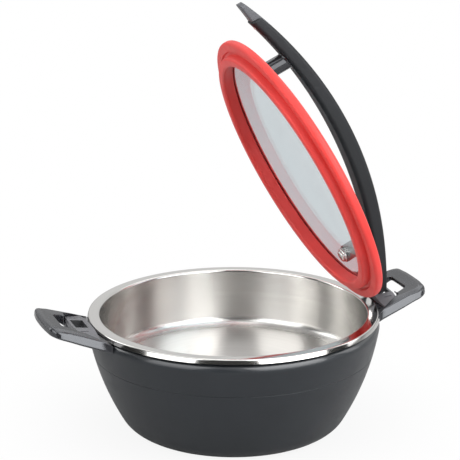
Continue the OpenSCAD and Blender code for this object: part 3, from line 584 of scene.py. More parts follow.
def turning_lines(name):
    """Fine lines that run round the Z axis, as a brush leaves them on a turned pot."""
    tree, given, result = effect(name, [("Place", PLACE), ("Lines", VALUE)],
                                 [("Height", VALUE), ("Streak", VALUE)])
    part = add(tree, "ShaderNodeSeparateXYZ", {"Vector": given["Place"]}).outputs
    flat = add(tree, "ShaderNodeCombineXYZ", {"X": part["X"], "Y": part["Y"]}).outputs[0]
    out = add(tree, "ShaderNodeVectorMath", {0: flat}, operation="LENGTH").outputs["Value"]
    for label, gain, slow in (("Height", 1.0, 9.0), ("Streak", 0.5, 3.0)):
        rate = maths(tree, "MULTIPLY", given["Lines"], gain)
        point = add(tree, "ShaderNodeCombineXYZ", {
            "X": maths(tree, "MULTIPLY", out, rate), "Y": maths(tree, "MULTIPLY", part["Z"], rate),
            "Z": maths(tree, "MULTIPLY", part["X"], slow)}).outputs[0]
        line = add(tree, "ShaderNodeTexNoise", {
            "Vector": point, "W": maths(tree, "MULTIPLY", part["Y"], slow), "Scale": 1.0,
            "Detail": 3.0, "Roughness": 0.6}, noise_dimensions="4D")
        tree.links.new(line.outputs["Fac"], result[label])
    return tree


def use(tree, build, inputs):
    """Places a shared effect in a material; its group is built once, under its builder's name."""
    name = build.__name__.replace("_", " ").capitalize()
    group = bpy.data.node_groups.get(name) or build(name)
    return add(tree, "ShaderNodeGroup", inputs, node_tree=group).outputs


def once(build):
    """Builds a finish the first time, and finds it by its name after that."""
    def found(name, *values, **settings):
        return bpy.data.materials.get(name) or build(name, *values, **settings)
    return found


def blank(name):
    """A new material, its tree, its Principled shader and its Object coordinates."""
    finish = bpy.data.materials.new(name)
    finish.use_nodes = True
    tree = finish.node_tree
    shader = tree.nodes["Principled BSDF"]
    place = add(tree, "ShaderNodeTexCoord").outputs["Object"]
    return finish, tree, shader, place


def bump(tree, height, strength, distance):
    """The normal of a surface that a height raises."""
    node = add(tree, "ShaderNodeBump", {"Height": height, "Strength": strength,
                                        "Distance": distance})
    return node.outputs["Normal"]


COOL = (0.92, 0.95, 1.0, 1.0)  # tint of the light on black plastic
POLISH_BLEND = 0.004  # height over which a polish sets in
GRAIN_HEIGHT = 0.0001  # height of moulded grain
LINE_HEIGHT = 0.00005  # height of turning lines
CELL_HEIGHT = 0.0004  # height of cut foam's cells


@once
def plastic(name, rgb, rough, grain=2600.0, depth=0.35, edge=0.30, coat=0.0, level=0.5,
            polish=None):
    """Moulded plastic or rubber with grain, a slow mottle, handling marks and rubbed edges.

    It is polished above the height polish, as moulded rims often are."""
    finish, tree, shader, place = blank(name)
    fine = use(tree, moulded_grain, {"Place": place, "Scale": grain})
    hand = use(tree, handling_marks, {"Place": place, "Scale": 34.0})
    worn = use(tree, worn_edges, {"Place": place, "Start": 0.53})
    base = between(tree, fine["Mottle"], opaque(rgb, 0.90), opaque(rgb, 1.10))
    lift = maths(tree, "MULTIPLY", worn["Mask"], edge)
    light = opaque([0.6 * c + 0.10 for c in rgb])
    if polish:
        height = add(tree, "ShaderNodeSeparateXYZ", {"Vector": place}).outputs["Z"]
        coat = spread(tree, height, 0.0, 1.0, polish, polish + POLISH_BLEND)
    feed(tree, shader, {
        "Base Color": between(tree, lift, base, light),
        "Roughness": maths(tree, "MULTIPLY_ADD", hand["Mask"], 0.07, rough),
        "Specular IOR Level": level, "Specular Tint": COOL,
        "Coat Weight": coat, "Coat Roughness": 0.12,
        "Normal": bump(tree, fine["Height"], depth, GRAIN_HEIGHT)})
    return finish


@once
def steel(name, rgb, rough, lines, depth=0.0, stretch=0.0, marks=0.02):
    """Steel with turning lines; stretch draws its reflections out across the lines.

    Without marks it is equally rough all over, and without depth its lines are only a tone."""
    finish, tree, shader, place = blank(name)
    line = use(tree, turning_lines, {"Place": place, "Lines": lines})
    tone = spread(tree, line["Streak"], 0.0, 1.0, 0.3, 0.7)
    round_z = add(tree, "ShaderNodeTangent", direction_type="RADIAL", axis="Z")
    if marks:
        hand = use(tree, handling_marks, {"Place": place, "Scale": 26.0})
        haze = maths(tree, "MULTIPLY_ADD", hand["Mask"], marks, rough)
        rough = maths(tree, "MULTIPLY_ADD", tone, marks, haze)
    feed(tree, shader, {
        "Base Color": between(tree, tone, opaque(rgb, 0.97), opaque(rgb, 1.02)),
        "Roughness": rough, "Metallic": 1.0, "Tangent": round_z.outputs["Tangent"],
        "Anisotropic": stretch, "Anisotropic Rotation": 0.25})
    if depth:
        feed(tree, shader, {"Normal": bump(tree, line["Height"], depth, LINE_HEIGHT)})
    return finish


@once
def silicone(name, rgb):
    """Soft red silicone with a faint bloom."""
    finish, tree, shader, place = blank(name)
    fine = use(tree, moulded_grain, {"Place": place, "Scale": 1500.0})
    hand = use(tree, handling_marks, {"Place": place, "Scale": 40.0})
    base = between(tree, fine["Mottle"], opaque(rgb, 0.93), opaque(rgb, 1.06))
    bloom = maths(tree, "MULTIPLY", hand["Mask"], 0.10)
    pale = opaque([0.75 * c + 0.10 for c in rgb])
    feed(tree, shader, {
        "Base Color": between(tree, bloom, base, pale),
        "Roughness": maths(tree, "MULTIPLY_ADD", hand["Mask"], 0.10, 0.46),
        "Normal": bump(tree, fine["Height"], 0.25, GRAIN_HEIGHT)})
    return finish


@once
def clear_glass(name, rgb):
    """Tempered glass with a faint tint and a few handling marks."""
    finish, tree, shader, place = blank(name)
    hand = use(tree, handling_marks, {"Place": place, "Scale": 14.0})
    feed(tree, shader, {
        "Base Color": between(tree, hand["Mask"], opaque(rgb), opaque(rgb, 0.97)),
        "Roughness": maths(tree, "MULTIPLY_ADD", hand["Mask"], 0.03, 0.01),
        "Transmission Weight": 1.0, "IOR": 1.5})
    return finish


@once
def foam(name, rgb):
    """Cut foam with open cells."""
    finish, tree, shader, place = blank(name)
    cells = add(tree, "ShaderNodeTexVoronoi", {"Vector": place, "Scale": 700.0}).outputs["Distance"]
    feed(tree, shader, {
        "Base Color": between(tree, cells, opaque(rgb, 0.8), opaque(rgb, 1.05)),
        "Roughness": 0.9, "Normal": bump(tree, cells, 0.6, CELL_HEIGHT)})
    return finish


def screw_steel(context):
    """The bright steel that the screws, washers, pin and clip share."""
    return steel("Screw steel", context.scene.dish_colours.steel, rough=0.22, lines=2400.0, depth=0.05)


# Measures that several pieces share

def top_line(context, x):
    """Height of a handle's sloping top over a distance from the axis."""
    bowl, handle = context.scene.dish_bowl, context.scene.dish_handle
    root, grip = handle_ends(context)
    share = (x - root) / (grip - root)
    return bowl.rim - handle.root_drop + share * (handle.rise + handle.root_drop)


def low_line(context, x):
    """Height of a handle's sloping underside."""
    handle = context.scene.dish_handle
    root, grip = handle_ends(context)
    share = (x - root) / (grip - root)
    thick = handle.root_thick + share * (handle.grip_thick - handle.root_thick)
    return top_line(context, x) - thick


def handle_ends(context):
    """Distances of a handle's root line and of its grip's outside from the axis."""
    handle = context.scene.dish_handle
    return flange_radius(context) - handle.root_in, flange_radius(context) + handle.reach


def flange_radius(context):
    """Outer radius of the steel flange."""
    bowl = context.scene.dish_bowl
    return bowl.mouth + bowl.flange


def keeper_seat(context):
    """Places a keeper: x runs up its slope and z stands square to it, 0 at its middle's top."""
    keeper = context.scene.dish_keeper
    return (Matrix.Translation((flange_radius(context) + keeper.start, 0.0,
                                context.scene.dish_bowl.rim + keeper.rise))
            @ Matrix.Rotation(-keeper.tilt, 4, "Y"))


def keeper_plan(keeper, grow, back):
    """Outline of a keeper from above, grown by its fit and lengthened inwards."""
    return [Vector(point[:2]) for point in mirrored([
        (-back, keeper.in_half + grow, 0.0), (0.0, keeper.in_half + grow, 0.0),
        (keeper.run + grow, keeper.out_half + grow, 0.0)])]


def keeper_end(context):
    """Distance of the keeper's outer edge from the axis."""
    keeper = context.scene.dish_keeper
    return flange_radius(context) + keeper.start + keeper.run * math.cos(keeper.tilt)


def glass_height(context, r, up=0.0):
    """Height of the closed glass's inside, or of a shell over it, at a radius."""
    bowl, lid = context.scene.dish_bowl, context.scene.dish_lid
    centre = bowl.rim + lid.glass_rise - math.sqrt(lid.dome ** 2 - lid.lip_radius ** 2)
    return centre + math.sqrt((lid.dome + up) ** 2 - r ** 2)


def clamped(share):
    """A share, kept between none and all."""
    return min(1.0, max(0.0, share))


def arch_height(apex, radius, x):
    """Height of an arch over x."""
    return apex - radius + math.sqrt(radius ** 2 - x ** 2)


def arm_top(context, x):
    """Height of the closed arm's top."""
    return arch_height(context.scene.dish_bowl.rim + context.scene.dish_arm.rise,
                       context.scene.dish_arm.arch, x)


def arm_low(context, x):
    """Height of the closed arm's underside."""
    arm = context.scene.dish_arm
    nose = flange_radius(context) + arm.nose
    apex = context.scene.dish_bowl.rim + arm.rise - arm.middle_thick
    drop = apex - arm_top(context, nose) + arm.end_thick
    return arch_height(apex, (nose ** 2 + drop ** 2) / (2.0 * drop), x)


# Pieces of the dish

FOOT_ROUND = 0.0005  # radius on the foot ring's lower edges
# Divisions of the bowl's outside; its hidden inside has fewer
HEEL_STEPS = 12
LOW_WALL_STEPS = 24
HIGH_WALL_STEPS = 16
SHOULDER_STEPS = 12


class DISH_OT_bowl(bpy.types.Operator):
    """Models the outer bowl and its foot ring"""
    bl_idname = "dish.bowl"
    bl_label = "Bowl"

    def execute(self, context):
        bowl, colours = context.scene.dish_bowl, context.scene.dish_colours
        finish = plastic("Bowl satin black", colours.bowl, rough=0.36,
                         polish=bowl.rim - bowl.edge - bowl.shoulder)
        profile = self.base(bowl) + self.side(context, bowl) + self.inside(context, bowl)
        piece(lathe(profile), "bowl_shell", "dish", "bowl_black", [finish], "outer_bowl")
        low, high, top = self.foot(bowl)
        ring = rounded([(low, 0.0, FOOT_ROUND), (high, 0.0, FOOT_ROUND), (high, top, 0.0),
                        (low, top, 0.0)])
        rubber = plastic("Foot rubber", colours.rubber, rough=0.62, grain=1800.0, depth=0.5, edge=0.1)
        piece(lathe(ring), "foot_pad", "dish", "dark_rubber", [rubber], "foot_ring")
        return {"FINISHED"}

    def foot(self, bowl):
        """Inner and outer radius of the foot ring, and the height of its top in the groove."""
        half = bowl.foot_width / 2
        return bowl.foot - half, bowl.foot + half, bowl.foot_height + bowl.foot_groove

    def base(self, bowl):
        """The underside from the filling hole past the foot ring's groove."""
        low, high, deep = self.foot(bowl)
        return [(bowl.plug, bowl.foot_height), (low, bowl.foot_height), (low, deep), (high, deep),
                (high, bowl.foot_height)]

    def arcs(self, context, bowl):
        """Centres and angles of the heel, wall and shoulder, which touch each other."""
        top = bowl.rim - bowl.edge - bowl.shadow_gap
        heel = Vector((bowl.base, bowl.foot_height + bowl.heel))
        shoulder = Vector((flange_radius(context) - bowl.shoulder, top - bowl.shoulder))
        span = shoulder - heel
        long, short = bowl.wall - bowl.heel, bowl.wall - bowl.shoulder
        spread_angle = math.acos((long ** 2 + span.length_squared - short ** 2)
                                 / (2.0 * long * span.length))
        way = math.atan2(span.y, span.x) + spread_angle
        wall = heel + long * Vector((math.cos(way), math.sin(way)))
        first = math.degrees(math.atan2(heel.y - wall.y, heel.x - wall.x))
        last = math.degrees(math.atan2(shoulder.y - wall.y, shoulder.x - wall.x))
        return heel, wall, shoulder, first, last

    def side(self, context, bowl):
        """The outside from the heel over the parting line to the shoulder."""
        heel, wall, shoulder, first, last = self.arcs(context, bowl)
        line = bowl.rim - bowl.groove_drop
        edges = [line - bowl.groove_height / 2, line + bowl.groove_height / 2]
        turns = [math.degrees(math.asin((z - wall.y) / bowl.wall)) for z in edges]
        out = [math.sqrt(bowl.wall ** 2 - (z - wall.y) ** 2) + wall.x for z in edges]
        soft = bowl.groove_height / 4
        notch = [(out[0] - bowl.groove_depth, edges[0] + soft),
                 (out[1] - bowl.groove_depth, edges[1] - soft)]
        return (arc(heel, bowl.heel, -90, first, HEEL_STEPS)
                + arc(wall, bowl.wall, first, turns[0], LOW_WALL_STEPS)[1:]
                + notch + arc(wall, bowl.wall, turns[1], last, HIGH_WALL_STEPS)
                + arc(shoulder, bowl.shoulder, last, 90, SHOULDER_STEPS)[1:])

    def inside(self, context, bowl):
        """The lip and the hidden inner face, back to the filling hole."""
        heel, wall, shoulder, first, last = self.arcs(context, bowl)
        lip, top = bowl.mouth + bowl.lip_gap, bowl.rim - bowl.edge - bowl.shadow_gap
        wall_in = (arc(shoulder, bowl.shoulder - bowl.shell, 90, last, SHOULDER_STEPS // 3)
                   + arc(wall, bowl.wall - bowl.shell, last, first, LOW_WALL_STEPS // 2)[1:]
                   + arc(heel, bowl.heel - bowl.shell, first, -90, HEEL_STEPS // 2)[1:])
        return ([(lip, top), (lip, top - bowl.shell)] + wall_in
                + [(bowl.plug, bowl.foot_height + bowl.shell)])


TIP_RISE = 0.0002  # height of the blunt tip of the steel edge
TIP_CUT = 0.0003  # width of that tip's slope
# Divisions of the pot's floor, cove, wall, mouth and edge
FLOOR_ROWS = 4
COVE_STEPS = 10
WALL_ROWS = 6
MOUTH_STEPS = 10
EDGE_STEPS = 8
# Places in the pot's list of finishes, in which the wall's comes first
ON_FLANGE = 1
ON_FLOOR = 2


class DISH_OT_pot(bpy.types.Operator):
    """Models the drawn steel pot with its flange and turned-down edge"""
    bl_idname = "dish.pot"
    bl_label = "Pot"

    def execute(self, context):
        bowl, colours = context.scene.dish_bowl, context.scene.dish_colours
        floor = bowl.rim - bowl.depth
        cove = Vector((bowl.cove_place, floor + bowl.cove))
        mouth = Vector((bowl.mouth + bowl.mouth_bend, bowl.rim - bowl.mouth_bend))
        span = mouth - cove
        lean = math.degrees(math.acos((bowl.cove + bowl.mouth_bend) / span.length)
                            - math.atan2(span.y, span.x))
        side, low, curl = flange_radius(context), bowl.rim - bowl.edge, bowl.edge_bend
        high = bowl.rim - curl + curl * math.sin(bowl.edge_lean) - low
        edge = Vector((side - curl * math.cos(bowl.edge_lean) - high * math.tan(bowl.edge_lean),
                       bowl.rim - curl))

        def face(t):
            """The pot's inside, moved out by t, from the floor to the turned-down edge."""
            wall = [Vector((bowl.cove_place * i / FLOOR_ROWS, floor - t)) for i in range(FLOOR_ROWS)]
            wall += arc(cove, bowl.cove + t, -90, -lean, COVE_STEPS)
            bend = arc(mouth, bowl.mouth_bend - t, 180 - lean, 90, MOUTH_STEPS)
            wall += [wall[-1].lerp(bend[0], i / WALL_ROWS) for i in range(1, WALL_ROWS)] + bend
            return wall + arc(edge, curl - t, 90, math.degrees(bowl.edge_lean), EDGE_STEPS)

        tip = [Vector((side, low + TIP_RISE)), Vector((side - TIP_CUT, low)),
               Vector((side - bowl.steel, low))]
        bm = lathe(face(0.0) + tip + face(bowl.steel)[::-1], closed=False)
        for item in bm.faces:
            middle = item.calc_center_median()
            out = math.hypot(middle.x, middle.y)
            if middle.z > mouth.y or out > mouth.x:
                item.material_index = ON_FLANGE
            elif out < cove.x:
                item.material_index = ON_FLOOR
        finishes = [steel("Brushed wall", colours.steel, rough=0.26, lines=500.0, stretch=0.80,
                          marks=0.0),
                    steel("Polished flange", colours.steel, rough=0.11, lines=2600.0, depth=0.03),
                    steel("Satin floor", colours.steel, rough=0.36, lines=700.0, depth=0.03,
                          stretch=0.45)]
        piece(bm, "steel_pot", "dish", "pot_steel", finishes, "inner_pot")
        return {"FINISHED"}


WELL_ROUND = 0.0005  # radius of the well's corners
GAP_ROUND = 0.001  # radius of the finger gap's inner corners
GAP_DIP = 0.0006  # how far the gap's edge lies below the handle's top
RIM_ROUND = 0.0015  # radius on top of the side that faces the flange
AT_RIM = 0.0005  # a section that ends this close to the flange follows it
HUB_PAST = 0.001  # how far past the keeper the sections' common centre lies
# Shares of a section's width for its roundings, and for the first and last place of its crest
TOP_SHARE = 0.42
INNER_SHARE = 0.3
LOW_SHARE = 0.2
CREST_SHARE = 0.2
CREST_FIRST = 0.12
CREST_LAST = 0.62
EDGE_SHARE = 0.6  # share of the outer edge's height for its rounding
# Shares of the corner's radius, from the grip's outside, over which the sides' lean sets in
LEAN_FIRST = 0.5
LEAN_RUN = 0.8
# Divisions of the root, the grip and its corners, and grip points that make room for a corner
ROOT_STEPS = 12
GRIP_STEPS = 14
GRIP_CORNER_STEPS = 10
CORNER_ROOM = 4
# Degrees between the sections, apart from those at corners, and decimals kept of their angles
SECTION_TURN = 6
TURN_DIGITS = 3


class DISH_OT_handles(bpy.types.Operator):
    """Models the two loop handles with their hollow undersides"""
    bl_idname = "dish.handles"
    bl_label = "Handles"

    def execute(self, context):
        finish = plastic("Handle satin black", context.scene.dish_colours.handle, rough=0.25,
                         grain=2200.0, depth=0.015, edge=0.08, level=1.0)
        for name, node, way in (("rear_loop", "rear_handle", Matrix.Identity(4)),
                                ("front_loop", "front_handle", TO_FRONT)):
            bm = placed(self.loop(context), way)
            piece(bm, name, "dish", "handle_black", [finish], node, even=True)
        return {"FINISHED"}

    def loop(self, context):
        """One handle on the hinge side, cut for its keeper and hollowed from below."""
        handle, keeper = context.scene.dish_handle, context.scene.dish_keeper
        root, grip = handle_ends(context)
        rim = flange_radius(context) + handle.rim_gap
        run = (handle.root_half - handle.grip_half) / (grip - root)
        meet = self.where_side_meets(root, handle.root_half, run, rim)
        turn = math.degrees(math.asin(meet.y / rim))
        bow = [(p.x, p.y, 0.0) for p in arc((0.0, 0.0), rim, -turn, turn, ROOT_STEPS)]
        side = math.degrees(math.asin(handle.grip_half / grip))
        outside = [(p.x, p.y, 0.0) for p in arc((0.0, 0.0), grip, side, -side, GRIP_STEPS)]
        ends = [point[:2] + (handle.corner,) for point in (outside[0], outside[-1])]
        outer = rounded(bow + ends[:1] + outside[CORNER_ROOM:-CORNER_ROOM] + ends[1:],
                        GRIP_CORNER_STEPS)
        end = keeper_end(context) + keeper.fit
        well = flange_radius(context) + keeper.start + handle.well_in
        bar = grip - handle.bar
        inner = rounded(mirrored([(well, handle.well_half, WELL_ROUND), (end, handle.well_half, 0.0),
                                  (end, handle.finger_in, GAP_ROUND),
                                  (bar, handle.finger_out, handle.finger_corner)]), 5)
        solid = self.ring(context, outer, inner, Vector((end + HUB_PAST, 0.0)), rim)
        seat = prism(keeper_plan(keeper, keeper.fit, keeper.run), -keeper.thick, keeper.run)
        half = handle.root_half - run * (bar - root) - handle.skirt
        under = rounded(mirrored([(bar + handle.wall, half, 0.0),
                                  (grip - handle.skirt, handle.grip_half - handle.skirt,
                                   handle.corner - handle.skirt)]), 8)
        hollow = prism(under, 0.0, THROUGH)
        for v in hollow.verts:
            v.co.z = top_line(context, v.co.x) - handle.plate if v.co.z > 0.0 else 0.0
        return carved(solid, [placed(seat, keeper_seat(context)), hollow])

    def where_side_meets(self, root, half, run, rim):
        """Where a handle's side line meets the circle round the flange."""
        x = rim
        for _ in range(30):
            x = math.sqrt(rim ** 2 - (half - run * (x - root)) ** 2)
        return Vector((x, half - run * (x - root)))

    def ring(self, context, outer, inner, centre, rim):
        """Skins rounded sections round the finger gap."""
        handle, grip = context.scene.dish_handle, handle_ends(context)[1]
        first, last = keeper_end(context), grip - handle.bar
        turns = {round(math.atan2(p.y, p.x - centre.x), TURN_DIGITS) for p in outer + inner}
        turns |= {round(math.radians(a), TURN_DIGITS)
                  for a in range(SECTION_TURN - 180, 180, SECTION_TURN)}
        sections = []
        for turn in sorted(turns):
            way = Vector((math.cos(turn), math.sin(turn)))
            near, far = reach(inner, centre, turn), reach(outer, centre, turn)
            x_near, x_far = centre.x + way.x * near, centre.x + way.x * far
            at_rim = (centre + way * far).length < rim + AT_RIM
            side = clamped((grip - LEAN_FIRST * handle.corner - x_far) / (LEAN_RUN * handle.corner))
            lean = 0.0 if at_rim else handle.end_lean + (handle.lean - handle.end_lean) * side
            wide = far - near
            curve = min(handle.top_round, TOP_SHARE * wide)
            lip = min(handle.inner_round, INNER_SHARE * wide)
            edge = min(handle.low_round, LOW_SHARE * wide)
            if at_rim:
                curve = min(curve, RIM_ROUND)
            crest = self.crest(handle, near, far, way)
            under = low_line(context, x_far)
            outer_top = self.upper(context, centre + way * (far - lean))
            if not at_rim:
                outer_top -= handle.crown * max(0.0, way.x)
            outer_top = max(outer_top, under + handle.skirt_edge)
            thin = 0.0 if at_rim else clamped((x_near - first) / (last - first))
            inner_low = ((low_line(context, x_near) - handle.wall_drop) * (1.0 - thin)
                         + (top_line(context, x_near) - handle.plate) * thin)
            shape = rounded([(near, inner_low, edge), (far, under, edge),
                             (far - lean, outer_top, min(curve, EDGE_SHARE * (outer_top - under))),
                             (crest, self.upper(context, centre + way * crest), CREST_SHARE * wide),
                             (near, self.upper(context, centre + way * near) - GAP_DIP, lip)], 5)
            sections.append([Vector((centre.x + way.x * r, way.y * r, z)) for r, z in shape])
        return sweep(sections, closed=True)

    def crest(self, handle, near, far, way):
        """Where a section's top starts to fall to its outer edge."""
        level = handle.level_half / max(abs(way.y), 0.001)
        wide = far - near
        return min(max(level, near + CREST_FIRST * wide), near + CREST_LAST * wide)

    def upper(self, context, point):
        """Height of a handle's top, which falls away outside its level middle."""
        handle = context.scene.dish_handle
        past = max(0.0, abs(point.y) - handle.level_half)
        return top_line(context, point.x) - past * math.tan(handle.fall)


TOUCH = 0.0002  # how close to a place a face or an edge counts as being there
KEEN_ANGLE = 0.7  # angle in radians from which a keeper's edge is rounded
PLAN_PAST = 0.001  # how far the cutter of a keeper's plan reaches past its inner edge
EAR_START = 0.0003  # how far up the keeper an ear's foot starts
EAR_SINK = 0.0004  # how far an ear is sunk in the keeper
EAR_ROUND = 0.0005  # radius on an ear's edges
PIN_ROUND = 0.0004  # bevel on the pin's free end
PIN_DOME = 0.0009  # radius on the pin's head


class DISH_OT_keepers(bpy.types.Operator):
    """Models the two keepers, the rear one with its hinge ears, and the hinge pin"""
    bl_idname = "dish.keepers"
    bl_label = "Keepers and hinge"

    def execute(self, context):
        keeper, colours = context.scene.dish_keeper, context.scene.dish_colours
        # The second finish paints the window's walls rubber black, as painted shade that darkens the
        # window recess
        grey = [plastic("Keeper grey", colours.keeper, rough=0.40, grain=2400.0, depth=0.25),
                plastic("Keeper well black", colours.rubber, rough=0.5, grain=2400.0, depth=0.2,
                        edge=0.05)]
        seat = keeper_seat(context)
        front = placed(placed(self.plate(keeper), seat), TO_FRONT)
        self.paint_window_shade(front, keeper, TO_FRONT @ seat)
        piece(front, "front_plate", "dish", "keeper_grey", grey, "front_keeper", even=True)
        rear = placed(self.plate(keeper), seat)
        rear = carved(rear, [self.ear(context, side) for side in (-1, 1)], "UNION")
        self.paint_window_shade(rear, keeper, seat)
        piece(rear, "rear_plate", "dish", "keeper_grey", grey, "rear_keeper", even=True)
        bright = screw_steel(context)
        piece(self.pin(keeper), "hinge_rod", "dish", "screw_steel", [bright], "hinge_pin")
        return {"FINISHED"}

    def plate(self, keeper):
        """A keeper in its own seat's axes, with window and slits."""
        shape = rounded(mirrored([(-keeper.thick, keeper.in_half, 0.0),
                                  (-keeper.fall, keeper.in_half, 0.0),
                                  (0.0, keeper.flat_half, keeper.bend)]), 8)
        bm = pulled([(0.0, y, w) for w, y in shape], (keeper.run, 0.0, 0.0))
        plan = prism(keeper_plan(keeper, 0.0, PLAN_PAST), -THROUGH, THROUGH)
        bm = carved(bm, [plan], "INTERSECT")
        for v in bm.verts:
            if v.co.x > keeper.run - MERGE:
                v.co.x -= keeper.end_curve * (v.co.y / keeper.out_half) ** 2
        ends = [e for e in bm.edges if e.calc_face_angle(0.0) > KEEN_ANGLE
                and min(v.co.z for v in e.verts) > -keeper.fall - TOUCH]
        softened(bm, ends, keeper.edge_round)
        inner = self.window_start(keeper)
        middle = inner + keeper.window / 2
        past = (keeper.slit_place - keeper.flat_half) / (keeper.in_half - keeper.flat_half)
        deep = -keeper.fall * past - keeper.slit_depth
        tools = [block((inner, -keeper.window_half, -THROUGH),
                       (inner + keeper.window, keeper.window_half, THROUGH))]
        for side in (-1, 1):
            y = side * keeper.slit_place
            tools.append(block((middle - keeper.slit / 2, y - keeper.slit_width / 2, deep),
                               (middle + keeper.slit / 2, y + keeper.slit_width / 2, THROUGH)))
        return carved(bm, tools)

    def window_start(self, keeper):
        """Where the window starts, up the keeper's slope."""
        return keeper.run - keeper.bar - keeper.window

    def paint_window_shade(self, bm, keeper, seat):
        """Paints the walls of a keeper's window rubber black, as painted shade that darkens the window.
        """
        back = seat.inverted()
        first = self.window_start(keeper)
        bm.normal_update()
        for face in bm.faces:
            middle = back @ face.calc_center_median()
            upright = abs((back.to_3x3() @ face.normal).z) < 0.5
            along = abs(middle.x - first - keeper.window / 2) < keeper.window / 2 + TOUCH
            aside = abs(middle.y) < keeper.window_half + TOUCH
            face.material_index = int(upright and along and aside)

    def ear(self, context, side):
        """One hinge ear, from the keeper's foot up to its eye round the pin."""
        keeper = context.scene.dish_keeper
        seat = keeper_seat(context)
        inner, outer = [seat @ Vector((u, 0.0, -keeper.thick + EAR_SINK))
                        for u in (EAR_START, keeper.ear_foot)]
        eye = Vector((HINGE.x, HINGE.z))
        shape = ([Vector((inner.x, inner.z)), Vector((outer.x, outer.z))]
                 + arc(eye, keeper.eye, 40, 260, 28)
                 + [Vector((inner.x, HINGE.z - keeper.ear_bend))])
        start = side * (keeper.ear_place + keeper.ear / 2)
        bm = across(shape, start - keeper.ear / 2, start + keeper.ear / 2)
        return soft_sides(bm, EAR_ROUND)

    def pin(self, keeper):
        """The hinge pin with its domed head, laid along Y."""
        end = keeper.ear_place + keeper.ear
        head = end + keeper.pin_head_thick
        tail = -end - keeper.pin_tail
        profile = [(0.0, tail), (keeper.pin - PIN_ROUND, tail), (keeper.pin, tail + PIN_ROUND),
                   (keeper.pin, end), (keeper.pin_head, end)]
        profile += arc((keeper.pin_head - PIN_DOME, head - PIN_DOME), PIN_DOME, 0, 90, 5)
        profile += [(0.0, head)]
        bm = lathe(profile, SMALL_ROUND_STEPS, closed=False)
        lay = Matrix.Translation(HINGE) @ Matrix.Rotation(-math.pi / 2, 4, "X")
        return placed(bm, lay)


# Pieces of the lid, modelled closed and swung up

GLASS_ROWS = 28  # divisions of the dome from its middle to its edge
GLASS_BEVEL = 0.0006  # bevel on the glass's edge
HOLE_POINTS = 72


class DISH_OT_glass(bpy.types.Operator):
    """Models the domed glass with its two holes"""
    bl_idname = "dish.glass"
    bl_label = "Glass"

    def execute(self, context):
        lid = context.scene.dish_lid
        radii = [lid.glass * i / GLASS_ROWS for i in range(GLASS_ROWS)] + [lid.glass - GLASS_BEVEL]
        inside = [(r, glass_height(context, r)) for r in radii]
        outside = [(r, glass_height(context, r, lid.glass_thick)) for r in radii]
        rim = [(lid.glass, glass_height(context, lid.glass) + GLASS_BEVEL),
               (lid.glass, glass_height(context, lid.glass, lid.glass_thick) - GLASS_BEVEL)]
        bm = lathe(inside + rim + outside[::-1], closed=False)
        drills = [prism(circle((side * lid.post_place, 0.0), lid.hole, HOLE_POINTS), 0.0, THROUGH)
                  for side in (-1, 1)]
        bm = placed(carved(bm, drills), LID_UP)
        finish = clear_glass("Lid glass", context.scene.dish_colours.glass)
        piece(bm, "glass_dome", "lid", "lid_glass", [finish], "lid_glass")
        return {"FINISHED"}


GLASS_FIT = 0.0001  # gap between the seal and the faces of the glass
GLASS_EDGE_FIT = 0.00005  # gap between the seal and the edge of the glass
LIP_ROUND = 0.0002  # radius on the lip's edge over the glass
FOOT_LIP_ROUND = 0.0003  # radius on the plug's edge under the glass


class DISH_OT_seal(bpy.types.Operator):
    """Models the red silicone ring with its plug, valley, bead and lip"""
    bl_idname = "dish.seal"
    bl_label = "Seal"

    def execute(self, context):
        bowl, lid = context.scene.dish_bowl, context.scene.dish_lid
        low = bowl.rim + lid.bead_gap
        foot = bowl.rim - lid.plug_depth
        out = bowl.mouth - lid.plug_gap
        inner = out - lid.plug_foot
        soft = lid.seal_edge
        under = glass_height(context, lid.lip_radius) - GLASS_FIT
        over = glass_height(context, lid.lip_radius, lid.glass_thick)
        lip = over + lid.lip
        deep = lid.glass + GLASS_EDGE_FIT
        shape = rounded([
            (inner, foot, lid.plug_round), (out, foot, lid.plug_round),
            (out + soft / 2, low + lid.valley_height, soft / 2),
            (out + lid.valley, low + lid.valley_height, soft / 2),
            (out + lid.valley + soft, low, soft), (lid.bead, low, lid.bead_round),
            (lid.bead, low + lid.bead_height, lid.bead_crest),
            (lid.bead - lid.bead_top, low + lid.bead_height + lid.bead_rise, lid.bead_round),
            (lid.glass + lid.wrap, lip - lid.lip, lid.bead_round),
            (lid.lip_radius + soft, lip, soft), (lid.lip_radius, over + GLASS_FIT, LIP_ROUND),
            (deep, glass_height(context, deep, lid.glass_thick) + GLASS_FIT, 0.0),
            (deep, glass_height(context, deep) - GLASS_FIT, 0.0),
            (lid.lip_radius, under, FOOT_LIP_ROUND)], 8)
        finish = silicone("Red silicone", context.scene.dish_colours.silicone)
        bm = placed(lathe(shape, SEAL_STEPS), LID_UP)
        piece(bm, "seal_ring", "lid", "red_silicone", [finish], "lid_seal")
        return {"FINISHED"}


BUSH_WALL = 0.0012  # wall of the bush round the pin
BORE_POINTS = 60
LUG_ROUND = 0.0006  # radius on the lug's edges
LUG_SLOPE = 0.002  # how much lower the lug's top is on its outer side
END_TURN = 15  # degrees between the sections of a rounded end
END_PAST = 0.002  # how far from a rounded end the even sections start
END_DRAW = 0.0015  # most by which a rounded end draws the sides in
ROUND_SHARE = 0.4  # share of a section's height or half width for a rounding
BAR_CORNER_STEPS = 5
SEAT_PAST = 0.004  # how far the tab's seat is cut past the arm's top
# Divisions of the tab's tongue, blade, tip and corners
TONGUE_STEPS = 6
BLADE_STEPS = 8
TIP_STEPS = 20
TAB_CORNER_STEPS = 4


